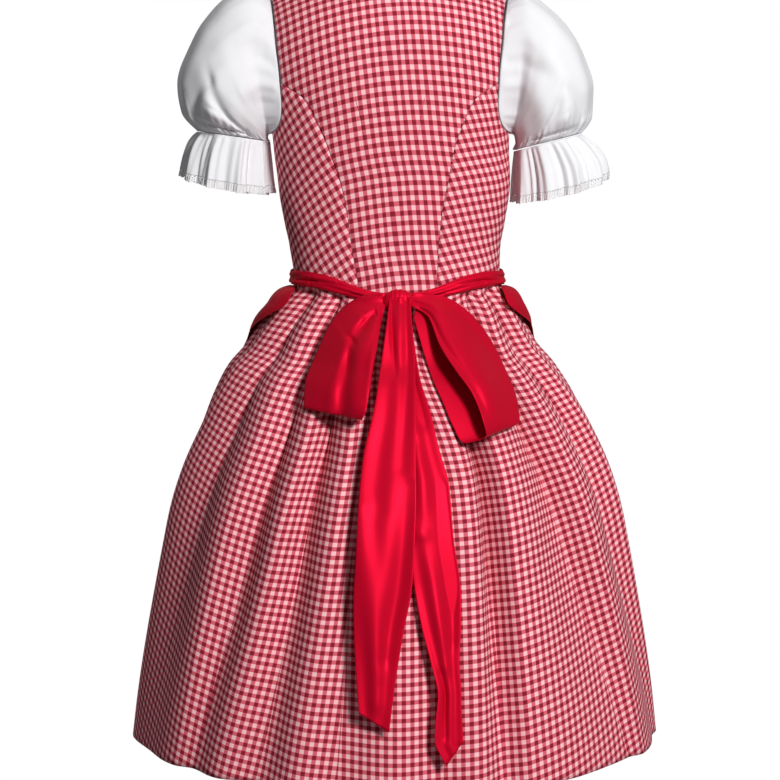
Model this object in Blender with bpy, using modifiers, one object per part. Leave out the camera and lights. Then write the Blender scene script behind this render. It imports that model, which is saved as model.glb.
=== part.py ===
"""Dirndl dress with its blouse and tied apron, in the form it takes when it is worn.

Metres, +Z up. The front faces -Y and the wearer's left is +X. The origin lies midway between
the shoulders, where the wearer carries the dress. Angles run round the body in degrees: 0 at
the centre back, 90 at the wearer's left side and 180 at the centre front.
"""

import bisect
import functools
import math
from typing import NamedTuple

import bmesh
import bpy
from mathutils import Vector

COLLECTION_NAME = "dirndl_dress"

# Cloth and seams
COTTON_WALL = 0.0012
SATIN_WALL = 0.0010
SEAM = 0.0004

# Figure
SQUARENESS = 2.4
DOME_RADIUS = 0.10
NECK_HALF_WIDTH = 0.070
SHOULDER_HALF_WIDTH = 0.1525
SHOULDER_DROP = 0.033
BUST_PROUD = 0.016
BUST_ACROSS = 0.082
BUST_HEIGHT = -0.248
BUST_SPREAD = 0.052

# Armhole
ARMHOLE_BOTTOM = -0.208
ARMHOLE_INSET_BACK = 0.030
ARMHOLE_INSET_FRONT = 0.036
JUNCTION_TURN = 72.0

# Bodice
BODICE_LAP = 0.010
SEAM_RADIUS = 0.12
SEAM_ANGLE = math.degrees(SEAM / 2 / SEAM_RADIUS)
LAP_ANGLE = math.degrees(BODICE_LAP / 0.16)
SHOULDER_COLUMNS = 3
NECK_COLUMNS = 4
BACK_COLUMNS = 2 * (SHOULDER_COLUMNS + NECK_COLUMNS)
SIDE_COLUMNS = 5
ARM_ROWS = 5
SEAM_ROWS = 9
FRONT_COLUMNS = 4
BACK_SEAM = ((0.137, -0.148), (0.1075, -0.168), (0.0915, -0.199), (0.079, -0.231), (0.0695, -0.266),
             (0.0615, -0.301), (0.0565, -0.3375), (0.0525, -0.374), (0.0485, -0.411))
FRONT_SEAM = ((0.128, -0.150), (0.104, -0.190), (0.088, -0.240), (0.078, -0.290), (0.065, -0.345),
              (0.056, -0.4035))
FRONT_NECKLINE = ((0.076, 0.0), (0.073, -0.050), (0.071, -0.090), (0.067, -0.130), (0.055, -0.158),
                  (0.030, -0.170), (0.0, -0.173))
BACK_NECKLINE = ((NECK_HALF_WIDTH, 0.0), (0.060, -0.010), (0.035, -0.018), (0.0, -0.020))

# Waist and hem
WAIST_SIDE = -0.394
WAIST_DIP_BACK = 0.0180
WAIST_DIP_FRONT = 0.006
WAIST_GAP = 0.0012
HEM = -0.987
HEM_DIP_BACK = 0.017

# Blouse
BLOUSE_INSIDE = 0.0058
BLOUSE_HEM = -0.300
BLOUSE_ARM_ROWS = 6
BLOUSE_SIDE_ROWS = 3
BLOUSE_NECKLINES = {
    "back": ((0.074, 0.0), (0.062, -0.016), (0.036, -0.024), (0.0, -0.026)),
    "front": ((0.079, 0.0), (0.074, -0.060), (0.062, -0.110), (0.040, -0.134), (0.0, -0.140)),
}

# Apron
APRON_TOP_GAP = 0.0024
APRON_HEM = 0.930
APRON_FOLDS = 10
APRON_FOLD_HEIGHT = 0.009
APRON_PUFF = 0.008
APRON_PUFF_SHARE = 0.04
BAND_HALF_HEIGHT = 0.0125
BAND_WALL = 0.0015
BAND_COLUMNS = 24
BAND_ROWS = 4
TIE_COLUMNS = 14
TIE_CRUMPLE = 0.0012
TIE_HALF_HEIGHT = 0.0095
TIE_END_SIDE = 92.0
TIE_END_BACK = 5.5
TIE_CLEAR = 0.0016
TIE_HEIGHT = -0.3915
TIE_DIP = 0.0245

# Buttons
BUTTON_RADIUS = 0.006
BUTTON_THICKNESS = 0.0028
BUTTON_TOP = -0.190
BUTTON_PITCH = 0.034
BUTTON_COUNT = 6
BUTTON_SEGMENTS = 14
BUTTON_FACE_SHARE = 0.72
BUTTON_SLOPE_STEP = 0.004


class TorsoRing(NamedTuple):
    """One level of the figure, at its height."""

    height: float
    half_width: float
    back_depth: float
    front_depth: float
    centre: float


TORSO_RINGS = (
    TorsoRing(-0.430, 0.1330, 0.099, 0.104, 0.0000),
    TorsoRing(-0.398, 0.1320, 0.098, 0.103, 0.0005),
    TorsoRing(-0.351, 0.1358, 0.095, 0.107, 0.0036),
    TorsoRing(-0.325, 0.1410, 0.095, 0.110, 0.0040),
    TorsoRing(-0.273, 0.1490, 0.097, 0.114, 0.0045),
    TorsoRing(-0.234, 0.1510, 0.099, 0.115, 0.0078),
    TorsoRing(-0.208, 0.1525, 0.100, 0.114, 0.0090),
    TorsoRing(-0.144, 0.1660, 0.101, 0.108, 0.0105),
    TorsoRing(-0.090, 0.1720, 0.099, 0.100, 0.0110),
    TorsoRing(0.010, 0.1760, 0.097, 0.094, 0.0115),
)


class SkirtRing(NamedTuple):
    """One level of the skirt, at its share of the fall from the waist seam to the hem."""

    fall: float
    half_width: float
    centre: float


SKIRT_RINGS = (
    SkirtRing(0.000, 0.1320, 0.0000),
    SkirtRing(0.012, 0.1335, 0.0000),
    SkirtRing(0.030, 0.1440, 0.0010),
    SkirtRing(0.052, 0.1550, 0.0025),
    SkirtRing(0.096, 0.1725, 0.0060),
    SkirtRing(0.140, 0.1895, 0.0075),
    SkirtRing(0.184, 0.2130, 0.0075),
    SkirtRing(0.249, 0.2375, 0.0050),
    SkirtRing(0.315, 0.2565, 0.0030),
    SkirtRing(0.402, 0.2785, 0.0025),
    SkirtRing(0.490, 0.2940, 0.0025),
    SkirtRing(0.577, 0.3045, 0.0025),
    SkirtRing(0.687, 0.3165, 0.0025),
    SkirtRing(0.796, 0.3275, 0.0025),
    SkirtRing(0.906, 0.3370, 0.0025),
    SkirtRing(1.000, 0.3435, 0.0025),
)
SKIRT_WAIST_BACK = 0.0980
SKIRT_WAIST_FRONT = 0.1030
SKIRT_SPREAD_BACK = 0.92
SKIRT_SPREAD_FRONT = 0.80
SKIRT_ROUND_BY = 0.15
SKIRT_SEAM = 0.0011
SKIRT_ROWS = (0.0, 0.014, 0.030, 0.055, 0.10, 0.17, 0.26, 0.38, 0.55, 0.77, 1.0)


class Fold(NamedTuple):
    """A skirt fold: the ridge's and the next valley's angles, and the valley's depth."""

    ridge_waist: float
    ridge_mid: float
    ridge_hem: float
    valley_waist: float
    valley_mid: float
    valley_hem: float
    depth_waist: float
    depth_mid: float
    depth_hem: float


FOLD_LEVELS = (0.05, 0.40, 1.00)
SKIRT_FOLDS = (
    Fold(-180.0, -180.0, -180.0, -169.0, -170.0, -171.0, 0.005, 0.009, 0.006),
    Fold(-158.0, -160.0, -162.0, -148.0, -150.0, -152.0, 0.005, 0.010, 0.007),
    Fold(-137.0, -140.0, -143.0, -126.0, -130.0, -134.0, 0.005, 0.011, 0.007),
    Fold(-115.0, -120.0, -125.0, -105.0, -112.0, -118.0, 0.005, 0.012, 0.007),
    Fold(-95.0, -104.0, -110.0, -82.0, -95.0, -101.0, 0.005, 0.012, 0.007),
    Fold(-72.0, -86.0, -92.0, -61.0, -76.0, -83.0, 0.006, 0.018, 0.007),
    Fold(-46.0, -53.0, -68.0, -41.0, -48.5, -60.0, 0.010, 0.028, 0.008),
    Fold(-24.0, -28.8, -29.0, -20.0, -26.0, -23.5, 0.006, 0.031, 0.012),
    Fold(-11.0, -18.5, -17.0, -6.0, -9.0, -9.5, 0.004, 0.013, 0.010),
    Fold(0.0, 0.0, 0.0, 6.0, 10.0, 12.5, 0.004, 0.015, 0.012),
    Fold(11.0, 14.0, 21.0, 18.0, 24.0, 31.0, 0.008, 0.033, 0.016),
    Fold(22.0, 27.5, 40.0, 32.0, 38.5, 49.0, 0.012, 0.025, 0.008),
    Fold(39.0, 45.0, 54.0, 54.0, 61.0, 68.0, 0.012, 0.018, 0.006),
    Fold(66.0, 78.0, 86.0, 78.0, 91.0, 97.0, 0.005, 0.014, 0.007),
    Fold(92.0, 102.0, 108.0, 104.0, 111.0, 117.0, 0.005, 0.012, 0.007),
    Fold(115.0, 120.0, 125.0, 126.0, 130.0, 134.0, 0.005, 0.011, 0.007),
    Fold(137.0, 140.0, 143.0, 148.0, 150.0, 152.0, 0.005, 0.010, 0.007),
    Fold(158.0, 160.0, 162.0, 169.0, 170.0, 171.0, 0.005, 0.009, 0.006),
)


class Panel(NamedTuple):
    """A skirt width, between the valleys that follow two folds."""

    name: str
    first_fold: int
    last_fold: int


SKIRT_PANELS = (
    Panel("skirt_front_right", -1, 4),
    Panel("skirt_back_right", 4, 8),
    Panel("skirt_back_left", 8, 13),
    Panel("skirt_front_left", 13, 17),
)


class ApronEdge(NamedTuple):
    """Where the apron's side edges lie and stand out, at a share of the way down it."""

    share: float
    left: float
    right: float
    left_out: float
    right_out: float


APRON_EDGES = (
    ApronEdge(0.000, 74.0, 75.0, 0.0035, 0.0035),
    ApronEdge(0.012, 63.0, 65.0, 0.0140, 0.0140),
    ApronEdge(0.035, 57.0, 60.0, 0.0120, 0.0100),
    ApronEdge(0.065, 68.0, 72.0, 0.0100, 0.0060),
    ApronEdge(0.095, 84.0, 92.0, 0.0060, 0.0050),
    ApronEdge(0.130, 100.0, 104.0, 0.0050, 0.0050),
    ApronEdge(0.200, 110.0, 110.0, 0.0050, 0.0050),
    ApronEdge(0.400, 112.0, 111.0, 0.0060, 0.0060),
    ApronEdge(1.000, 114.0, 113.0, 0.0060, 0.0060),
)
APRON_ROWS = (0.0, 0.012, 0.035, 0.065, 0.095, 0.13, 0.20, 0.38, 0.65, 1.0)


class SleeveRing(NamedTuple):
    """One ring round the arm, by its outer and inner points seen from the back."""

    outer_across: float
    outer_height: float
    inner_across: float
    inner_height: float
    half_depth: float
    gather: float


SLEEVE_RINGS = {
    "left": (
        SleeveRing(0.1880, -0.0180, 0.1664, -0.2086, 0.068, 0.0020),
        SleeveRing(0.2220, -0.0360, 0.1672, -0.2098, 0.077, 0.0018),
        SleeveRing(0.2490, -0.0660, 0.1676, -0.2110, 0.083, 0.0014),
        SleeveRing(0.2690, -0.1030, 0.1678, -0.2122, 0.084, 0.0012),
        SleeveRing(0.2825, -0.1450, 0.1678, -0.2136, 0.078, 0.0014),
        SleeveRing(0.2775, -0.1800, 0.1674, -0.2152, 0.066, 0.0018),
        SleeveRing(0.2570, -0.2050, 0.1655, -0.2180, 0.047, 0.0016),
    ),
    "right": (
        SleeveRing(-0.1600, -0.0270, -0.1490, -0.2090, 0.066, 0.0020),
        SleeveRing(-0.1870, -0.0440, -0.1503, -0.2120, 0.075, 0.0018),
        SleeveRing(-0.2150, -0.0700, -0.1510, -0.2145, 0.081, 0.0014),
        SleeveRing(-0.2380, -0.1100, -0.1514, -0.2170, 0.082, 0.0012),
        SleeveRing(-0.2505, -0.1520, -0.1516, -0.2198, 0.076, 0.0014),
        SleeveRing(-0.2480, -0.1860, -0.1514, -0.2232, 0.065, 0.0018),
        SleeveRing(-0.2350, -0.2080, -0.1505, -0.2290, 0.046, 0.0016),
    ),
}
FRILL_RINGS = {
    "left": (
        SleeveRing(0.2571, -0.2059, 0.1655, -0.2189, 0.047, 0.0016),
        SleeveRing(0.2665, -0.2200, 0.1645, -0.2400, 0.053, 0.0030),
        SleeveRing(0.2760, -0.2400, 0.1635, -0.2600, 0.059, 0.0036),
        SleeveRing(0.2815, -0.2575, 0.1625, -0.2790, 0.063, 0.0040),
        SleeveRing(0.2830, -0.2650, 0.1620, -0.2870, 0.064, 0.0042),
    ),
    "right": (
        SleeveRing(-0.2352, -0.2096, -0.1506, -0.2306, 0.046, 0.0016),
        SleeveRing(-0.2520, -0.2250, -0.1500, -0.2500, 0.053, 0.0030),
        SleeveRing(-0.2680, -0.2440, -0.1495, -0.2710, 0.059, 0.0036),
        SleeveRing(-0.2730, -0.2605, -0.1490, -0.2880, 0.063, 0.0040),
        SleeveRing(-0.2715, -0.2680, -0.1488, -0.2950, 0.064, 0.0042),
    ),
}
FRILL_CLOTH_RINGS = 4
FRILL_SAG = 0.008
GATHERS = 10
COLUMNS_A_GATHER = 4
SCALLOP_DEPTH = 0.0015
ROOT_SHRINK = 0.985
ROOT_CLEAR = 0.0016


class TailRow(NamedTuple):
    """One level of a bow tail, by how far it hangs below the origin."""

    drop: float
    centre: float
    half_width: float
    stand_off: float
    slant: float


class LoopRow(NamedTuple):
    """One stretch of a bow loop's ribbon: its two edges and how far it stands out."""

    share: float
    outer_across: float
    outer_height: float
    inner_across: float
    inner_height: float
    stand_off: float


class Bow(NamedTuple):
    """Half of the bow: the rows of its loop and of its tail."""

    name: str
    loop: tuple
    tail: tuple


KNOT_CENTRE = Vector((-0.001, 0.1200, -0.4200))
KNOT_SIZE = Vector((0.032, 0.018, 0.022))
KNOT_GROOVE = 0.06
KNOT_WRAPS = 6.0
LOOP_FOLD = 0.0025
LOOP_CROWN = 0.25
LOOP_COLUMNS = 6
LOOP_ROWS = 20
TAIL_FOLD = 0.002
TAIL_COLUMNS = 6
TAIL_ROWS = 14

BOWS = (
    Bow(
        "left",
        (
            LoopRow(0.00, 0.0157, -0.414, 0.0155, -0.427, 0.020),
            LoopRow(0.12, 0.040, -0.415, 0.021, -0.446, 0.025),
            LoopRow(0.22, 0.065, -0.425, 0.025, -0.470, 0.029),
            LoopRow(0.32, 0.085, -0.449, 0.030, -0.496, 0.032),
            LoopRow(0.40, 0.100, -0.482, 0.034, -0.523, 0.030),
            LoopRow(0.46, 0.114, -0.520, 0.038, -0.546, 0.024),
            LoopRow(0.50, 0.115, -0.547, 0.043, -0.558, 0.015),
            LoopRow(0.54, 0.113, -0.541, 0.042, -0.553, 0.008),
            LoopRow(0.65, 0.096, -0.486, 0.034, -0.526, 0.005),
            LoopRow(0.80, 0.064, -0.448, 0.028, -0.475, 0.007),
            LoopRow(0.92, 0.034, -0.431, 0.023, -0.446, 0.010),
            LoopRow(1.00, 0.021, -0.425, 0.019, -0.436, 0.012),
        ),
        (
            TailRow(0.413, -0.003, 0.013, 0.0292, 0.0),
            TailRow(0.447, -0.002, 0.016, 0.0265, 0.0),
            TailRow(0.482, -0.001, 0.020, 0.0220, 0.0),
            TailRow(0.542, 0.003, 0.025, 0.016, 0.0),
            TailRow(0.605, 0.010, 0.032, 0.013, 0.0),
            TailRow(0.671, 0.013, 0.035, 0.012, 0.0),
            TailRow(0.748, 0.017, 0.035, 0.011, 0.0),
            TailRow(0.814, 0.023, 0.029, 0.010, 0.0),
            TailRow(0.869, 0.026, 0.023, 0.010, 0.0),
            TailRow(0.914, 0.028, 0.018, 0.010, -0.011),
        ),
    ),
    Bow(
        "right",
        (
            LoopRow(0.00, -0.0177, -0.413, -0.0176, -0.426, 0.020),
            LoopRow(0.12, -0.053, -0.415, -0.037, -0.437, 0.026),
            LoopRow(0.22, -0.087, -0.432, -0.052, -0.472, 0.031),
            LoopRow(0.32, -0.115, -0.466, -0.071, -0.501, 0.034),
            LoopRow(0.40, -0.134, -0.504, -0.090, -0.527, 0.032),
            LoopRow(0.46, -0.147, -0.539, -0.101, -0.553, 0.026),
            LoopRow(0.50, -0.150, -0.564, -0.107, -0.577, 0.018),
            LoopRow(0.54, -0.137, -0.571, -0.082, -0.587, 0.009),
            LoopRow(0.62, -0.121, -0.538, -0.067, -0.567, 0.006),
            LoopRow(0.72, -0.099, -0.503, -0.055, -0.539, 0.005),
            LoopRow(0.82, -0.071, -0.467, -0.042, -0.510, 0.005),
            LoopRow(0.92, -0.040, -0.436, -0.028, -0.466, 0.010),
            LoopRow(1.00, -0.023, -0.425, -0.020, -0.438, 0.012),
        ),
        (
            TailRow(0.4317, -0.002, 0.010, 0.0190, 0.0),
            TailRow(0.460, -0.006, 0.013, 0.012, 0.0),
            TailRow(0.509, -0.010, 0.017, 0.005, 0.0),
            TailRow(0.556, -0.018, 0.023, 0.003, 0.0),
            TailRow(0.601, -0.026, 0.026, -0.0014, 0.0),
            TailRow(0.635, -0.034, 0.028, -0.0016, 0.0),
            TailRow(0.703, -0.040, 0.028, -0.0016, 0.0),
            TailRow(0.749, -0.047, 0.028, -0.0012, 0.0),
            TailRow(0.800, -0.052, 0.024, 0.005, 0.0),
            TailRow(0.846, -0.057, 0.017, 0.007, 0.0),
            TailRow(0.883, -0.062, 0.014, 0.009, 0.0),
            TailRow(0.913, -0.061, 0.016, 0.010, 0.0),
            TailRow(0.936, -0.061, 0.017, 0.010, 0.0),
            TailRow(0.952, -0.068, 0.010, 0.009, 0.014),
        ),
    ),
)


class Finish(NamedTuple):
    """The plain look of a material."""

    colour: tuple
    roughness: float


FINISHES = {
    "gingham": Finish((0.62, 0.14, 0.19), 0.85),
    "cotton": Finish((0.86, 0.86, 0.86), 0.85),
    "lace": Finish((0.90, 0.90, 0.90), 0.80),
    "satin": Finish((0.55, 0.01, 0.05), 0.38),
    "button": Finish((0.80, 0.78, 0.72), 0.30),
}


def clamp(value, low=0.0, high=1.0):
    """Keeps a value between two limits."""
    return max(low, min(high, value))


def mix(start, end, share):
    """Goes a share of the way from one value to another."""
    return start + (end - start) * share


def curve(places, values, place):
    """Reads a column of values at a place, on a smooth curve with no overshoot."""
    if place <= places[0]:
        return values[0]
    if place >= places[-1]:
        return values[-1]
    index = bisect.bisect_right(places, place) - 1

    def secant(number):
        rise = values[number + 1] - values[number]
        return rise / (places[number + 1] - places[number])

    def slope(number):
        if number == 0:
            return secant(0)
        if number == len(places) - 1:
            return secant(number - 1)
        before, after = secant(number - 1), secant(number)
        if before * after <= 0.0:
            return 0.0
        return 2.0 * before * after / (before + after)

    step = places[index + 1] - places[index]
    share = (place - places[index]) / step
    square, cube = share ** 2, share ** 3
    return (
        (2 * cube - 3 * square + 1) * values[index]
        + (cube - 2 * square + share) * step * slope(index)
        + (3 * square - 2 * cube) * values[index + 1]
        + (cube - square) * step * slope(index + 1)
    )


def between(rows, place):
    """Reads every column of a table between its rows; the first column is the place."""
    places = [row[0] for row in rows]
    columns = zip(*rows)
    return type(rows[0])(*(curve(places, column, place) for column in columns))


def spread(value, squareness=SQUARENESS):
    """Turns a sine or cosine into the coordinate of a squared ring."""
    return math.copysign(abs(value) ** (2.0 / squareness), value)


def shoulder_height(across):
    """Height of the shoulder line at a distance from the middle."""
    share = clamp(abs(across) / SHOULDER_HALF_WIDTH, 0.0, 1.15)
    return -SHOULDER_DROP * share ** 2


def bust(across, height):
    """How far the front stands out over the figure's plain ring."""
    proud = 0.0
    for side in (-1, 1):
        offset = (across - side * BUST_ACROSS) ** 2 + (height - BUST_HEIGHT) ** 2
        proud += BUST_PROUD * math.exp(-offset / (2.0 * BUST_SPREAD ** 2))
    return proud


def torso(angle, down, out=0.0):
    """Point of the worn bodice, by its angle and its way down from the shoulder line."""
    sine = math.sin(math.radians(angle))
    cosine = math.cos(math.radians(angle))
    arch = min(down / DOME_RADIUS, math.pi / 2)
    rounding = math.sin(arch)
    drop = DOME_RADIUS * (1.0 - math.cos(arch)) + max(0.0, down - DOME_RADIUS * math.pi / 2)
    height = -drop
    for _ in range(3):
        ring = between(TORSO_RINGS, height)
        across = (ring.half_width + out) * spread(sine)
        height = shoulder_height(across) - drop + out * math.cos(arch)
    if cosine >= 0.0:
        depth = ring.back_depth + out
    else:
        depth = ring.front_depth + out + bust(across, height)
    return Vector((ring.centre + across, depth * spread(cosine) * rounding, height))


def torso_place(across, height, front):
    """Angle and way down of a point that is given by its place across and its height."""
    drop = shoulder_height(across) - height
    if drop < DOME_RADIUS:
        down = DOME_RADIUS * math.acos(clamp(1.0 - drop / DOME_RADIUS, -1.0, 1.0))
    else:
        down = drop + DOME_RADIUS * (math.pi / 2 - 1.0)
    ratio = clamp(abs(across) / between(TORSO_RINGS, height).half_width)
    angle = math.degrees(math.asin(ratio ** (SQUARENESS / 2.0)))
    if front:
        angle = 180.0 - angle
    return angle, max(down, SEAM)


def waist_height(angle):
    """Height of the waist seam, which dips at the centre back."""
    cosine = math.cos(math.radians(angle))
    dip = WAIST_DIP_BACK if cosine > 0.0 else WAIST_DIP_FRONT
    return WAIST_SIDE - dip * abs(cosine) ** 1.5


def waist_down(angle, height):
    """Way down from the shoulder line to a height near the waist."""
    ring = between(TORSO_RINGS, height)
    across = ring.half_width * spread(math.sin(math.radians(angle)))
    return shoulder_height(across) - height + DOME_RADIUS * (math.pi / 2 - 1.0)


def skirt_top(angle):
    """Height of the skirt's upper edge, just below the waist seam."""
    return waist_height(angle) - WAIST_GAP


def hem_height(angle):
    """Height of the hem, which dips at the back as the waist seam does."""
    return HEM - HEM_DIP_BACK * max(0.0, math.cos(math.radians(angle))) ** 2


def skirt_fall(angle, height):
    """Share of the fall from waist to hem at a height."""
    top = skirt_top(angle)
    return clamp((top - height) / (top - hem_height(angle)))


@functools.lru_cache(maxsize=None)
def fold_lines(fall):
    """Angles and depths of the ridges and valleys at a level, in order round the body."""
    lines = []
    for fold in SKIRT_FOLDS:
        ridge = curve(FOLD_LEVELS, fold[0:3], fall)
        valley = curve(FOLD_LEVELS, fold[3:6], fall)
        depth = curve(FOLD_LEVELS, fold[6:9], fall)
        lines.append((ridge, 0.0))
        lines.append((valley, depth * clamp(0.4 + fall / FOLD_LEVELS[0])))
    lines.append((lines[0][0] + 360.0, 0.0))
    return lines


def fold_drop(angle, fall):
    """How far the skirt lies inside the line over its ridges."""
    lines = fold_lines(fall)
    turned = (angle - lines[0][0]) % 360.0 + lines[0][0]
    index = bisect.bisect_right([line[0] for line in lines], turned) - 1
    index = min(index, len(lines) - 2)
    (start, start_depth), (end, end_depth) = lines[index], lines[index + 1]
    share = 0.5 - 0.5 * math.cos(math.pi * (turned - start) / (end - start))
    return mix(start_depth, end_depth, share)


def skirt(angle, fall, out=0.0, folded=1.0):
    """Point of the skirt, by its angle and its share of the fall from waist to hem."""
    ring = between(SKIRT_RINGS, fall)
    half_width = ring.half_width
    wider = half_width - SKIRT_RINGS[0].half_width
    sine = math.sin(math.radians(angle))
    cosine = math.cos(math.radians(angle))
    if cosine >= 0.0:
        depth = SKIRT_WAIST_BACK + SKIRT_SPREAD_BACK * wider
    else:
        depth = SKIRT_WAIST_FRONT + SKIRT_SPREAD_FRONT * wider
    squareness = mix(SQUARENESS, 2.0, clamp(fall / SKIRT_ROUND_BY))
    across = half_width * spread(sine, squareness)
    forward = depth * spread(cosine, squareness)
    radius = math.hypot(across, forward)
    scale = (radius + out - folded * fold_drop(angle, fall)) / radius
    height = mix(skirt_top(angle), hem_height(angle), fall)
    return Vector((ring.centre + across * scale, forward * scale, height))


def lie_on_skirt(across, height, out):
    """Point at a place across the back and a height, out from the line over the ridges."""
    angle = 0.0
    for _ in range(4):
        fall = skirt_fall(angle, height)
        ring = between(SKIRT_RINGS, fall)
        ratio = clamp((across - ring.centre) / (ring.half_width + out), -0.95, 0.95)
        angle = math.degrees(math.asin(ratio))
    return Vector((across, skirt(angle, fall, out, 0.0).y, height))


def around_waist(angle, height, out):
    """Point that lies out from the bodice above the waist seam and the skirt below it."""
    top = waist_height(angle)
    bodice = torso(angle, waist_down(angle, max(height, top)), out)
    if height >= top:
        return bodice
    below = skirt(angle, skirt_fall(angle, height), out, 0.0)
    return Vector((below.x, below.y, height))


def armhole(turn, front):
    """Point of the armhole, as a place across and a height; 0 is the underarm, 180 the tip."""
    middle = (ARMHOLE_BOTTOM - SHOULDER_DROP) / 2
    half_height = (-SHOULDER_DROP - ARMHOLE_BOTTOM) / 2
    height = middle - half_height * math.cos(math.radians(turn))
    inset = ARMHOLE_INSET_FRONT if front else ARMHOLE_INSET_BACK
    inset *= math.sin(math.radians(turn))
    if turn > 90.0:
        tip = between(TORSO_RINGS, -SHOULDER_DROP).half_width - SHOULDER_HALF_WIDTH
        inset += tip * (1.0 - math.sin(math.radians(turn)))
    return between(TORSO_RINGS, height).half_width - inset, height


def armhole_edge(start, end, steps, front):
    """Angles and ways down along a stretch of the armhole."""
    turns = [mix(start, end, step / steps) for step in range(steps + 1)]
    return [torso_place(*armhole(turn, front), front) for turn in turns]


def drawn_edge(points, steps, front):
    """Angles and ways down along a curve through points across and up, evenly spaced."""
    laid = [torso(*torso_place(*point, front)) for point in points]
    reach = [0.0]
    for first, second in zip(laid, laid[1:]):
        reach.append(reach[-1] + math.dist(first, second))
    places = [reach[-1] * step / steps for step in range(steps + 1)]
    across = [point[0] for point in points]
    heights = [point[1] for point in points]
    return [
        torso_place(curve(reach, across, place), curve(reach, heights, place), front)
        for place in places
    ]


def straight_edge(start, end, steps):
    """Angles and ways down along an even line between two places."""
    return [
        (mix(start[0], end[0], step / steps), mix(start[1], end[1], step / steps))
        for step in range(steps + 1)
    ]


def waist_edge(start, end, steps):
    """Angles and ways down along the waist seam."""
    angles = [mix(start, end, step / steps) for step in range(steps + 1)]
    return [(angle, waist_down(angle, waist_height(angle))) for angle in angles]


def coons(start, end, top, bottom, across, down):
    """Place inside four edges, by its shares of the way across and down them."""
    column = round(across * (len(top) - 1))
    row = round(down * (len(start) - 1))
    place = []
    for part in (0, 1):
        sides = mix(start[row][part], end[row][part], across)
        ends = mix(top[column][part], bottom[column][part], down)
        corners = mix(
            mix(start[0][part], end[0][part], across),
            mix(start[-1][part], end[-1][part], across),
            down,
        )
        place.append(sides + ends - corners)
    return tuple(place)


def make_material(name):
    """Makes a plain material with one shader."""
    finish = FINISHES[name]
    material = bpy.data.materials.new(name)
    material.use_nodes = True
    shader = material.node_tree.nodes["Principled BSDF"]
    shader.inputs["Base Color"].default_value = (*finish.colour, 1.0)
    shader.inputs["Roughness"].default_value = finish.roughness
    shader.inputs["Metallic"].default_value = 0.0
    material.diffuse_color = (*finish.colour, 1.0)
    return material


def add_object(name, mesh_source, finish):
    """Puts a finished bmesh into the collection as a named object with its own material."""
    mesh = bpy.data.meshes.new(name)
    mesh_source.to_mesh(mesh)
    mesh_source.free()
    mesh.shade_smooth()
    piece = bpy.data.objects.new(name, mesh)
    material = make_material(finish)
    material.name = f"{name}_{finish}"
    mesh.materials.append(material)
    bpy.data.collections[COLLECTION_NAME].objects.link(piece)
    return piece


def sheet(name, columns, rows, place, finish, wall, closed=False):
    """Makes a cloth wall from a grid that is laid by a function of its shares across and down."""
    cloth = bmesh.new()
    bmesh.ops.create_grid(cloth, x_segments=columns, y_segments=rows, size=0.5)
    for vertex in cloth.verts:
        across = round((0.5 - vertex.co.x) * columns) / columns
        down = round((0.5 - vertex.co.y) * rows) / rows
        vertex.co = place(across, down)
    if closed:
        bmesh.ops.remove_doubles(cloth, verts=cloth.verts, dist=0.00001)
    piece = add_object(name, cloth, finish)
    thicken = piece.modifiers.new("wall", "SOLIDIFY")
    thicken.thickness = wall
    thicken.offset = 1.0
    return piece


def mirrored(edge):
    """The same edge on the wearer's right."""
    return [(-angle, down) for angle, down in edge]


def seam_shifted(edge, angle_gap):
    """An edge drawn back from its seam."""
    return [(angle + angle_gap, down) for angle, down in edge]


def bodice_piece(name, edges, place_side, finish="gingham", out=0.0):
    """Lays a bodice or blouse piece inside its start, end, top and bottom edges."""
    start, end, top, bottom = edges
    if place_side < 0:
        start, end = mirrored(end), mirrored(start)
        top, bottom = mirrored(top[::-1]), mirrored(bottom[::-1])

    def place(across, down):
        return torso(*coons(start, end, top, bottom, across, down), out)

    sheet(name, len(top) - 1, len(start) - 1, place, finish, COTTON_WALL)


def neck_and_shoulders(neckline, front):
    """Top edge from one shoulder tip over the neckline to the other, in the back's order."""
    tip = torso_place(SHOULDER_HALF_WIDTH, -SHOULDER_DROP, front)
    neck = torso_place(*neckline[0], front)
    half = straight_edge(tip, neck, SHOULDER_COLUMNS)
    half += drawn_edge(neckline, NECK_COLUMNS, front)[1:]
    if front:
        other = [(360.0 - angle, down) for angle, down in half[-2::-1]]
        return half + other
    return [(-angle, down) for angle, down in half] + half[-2::-1]


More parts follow.
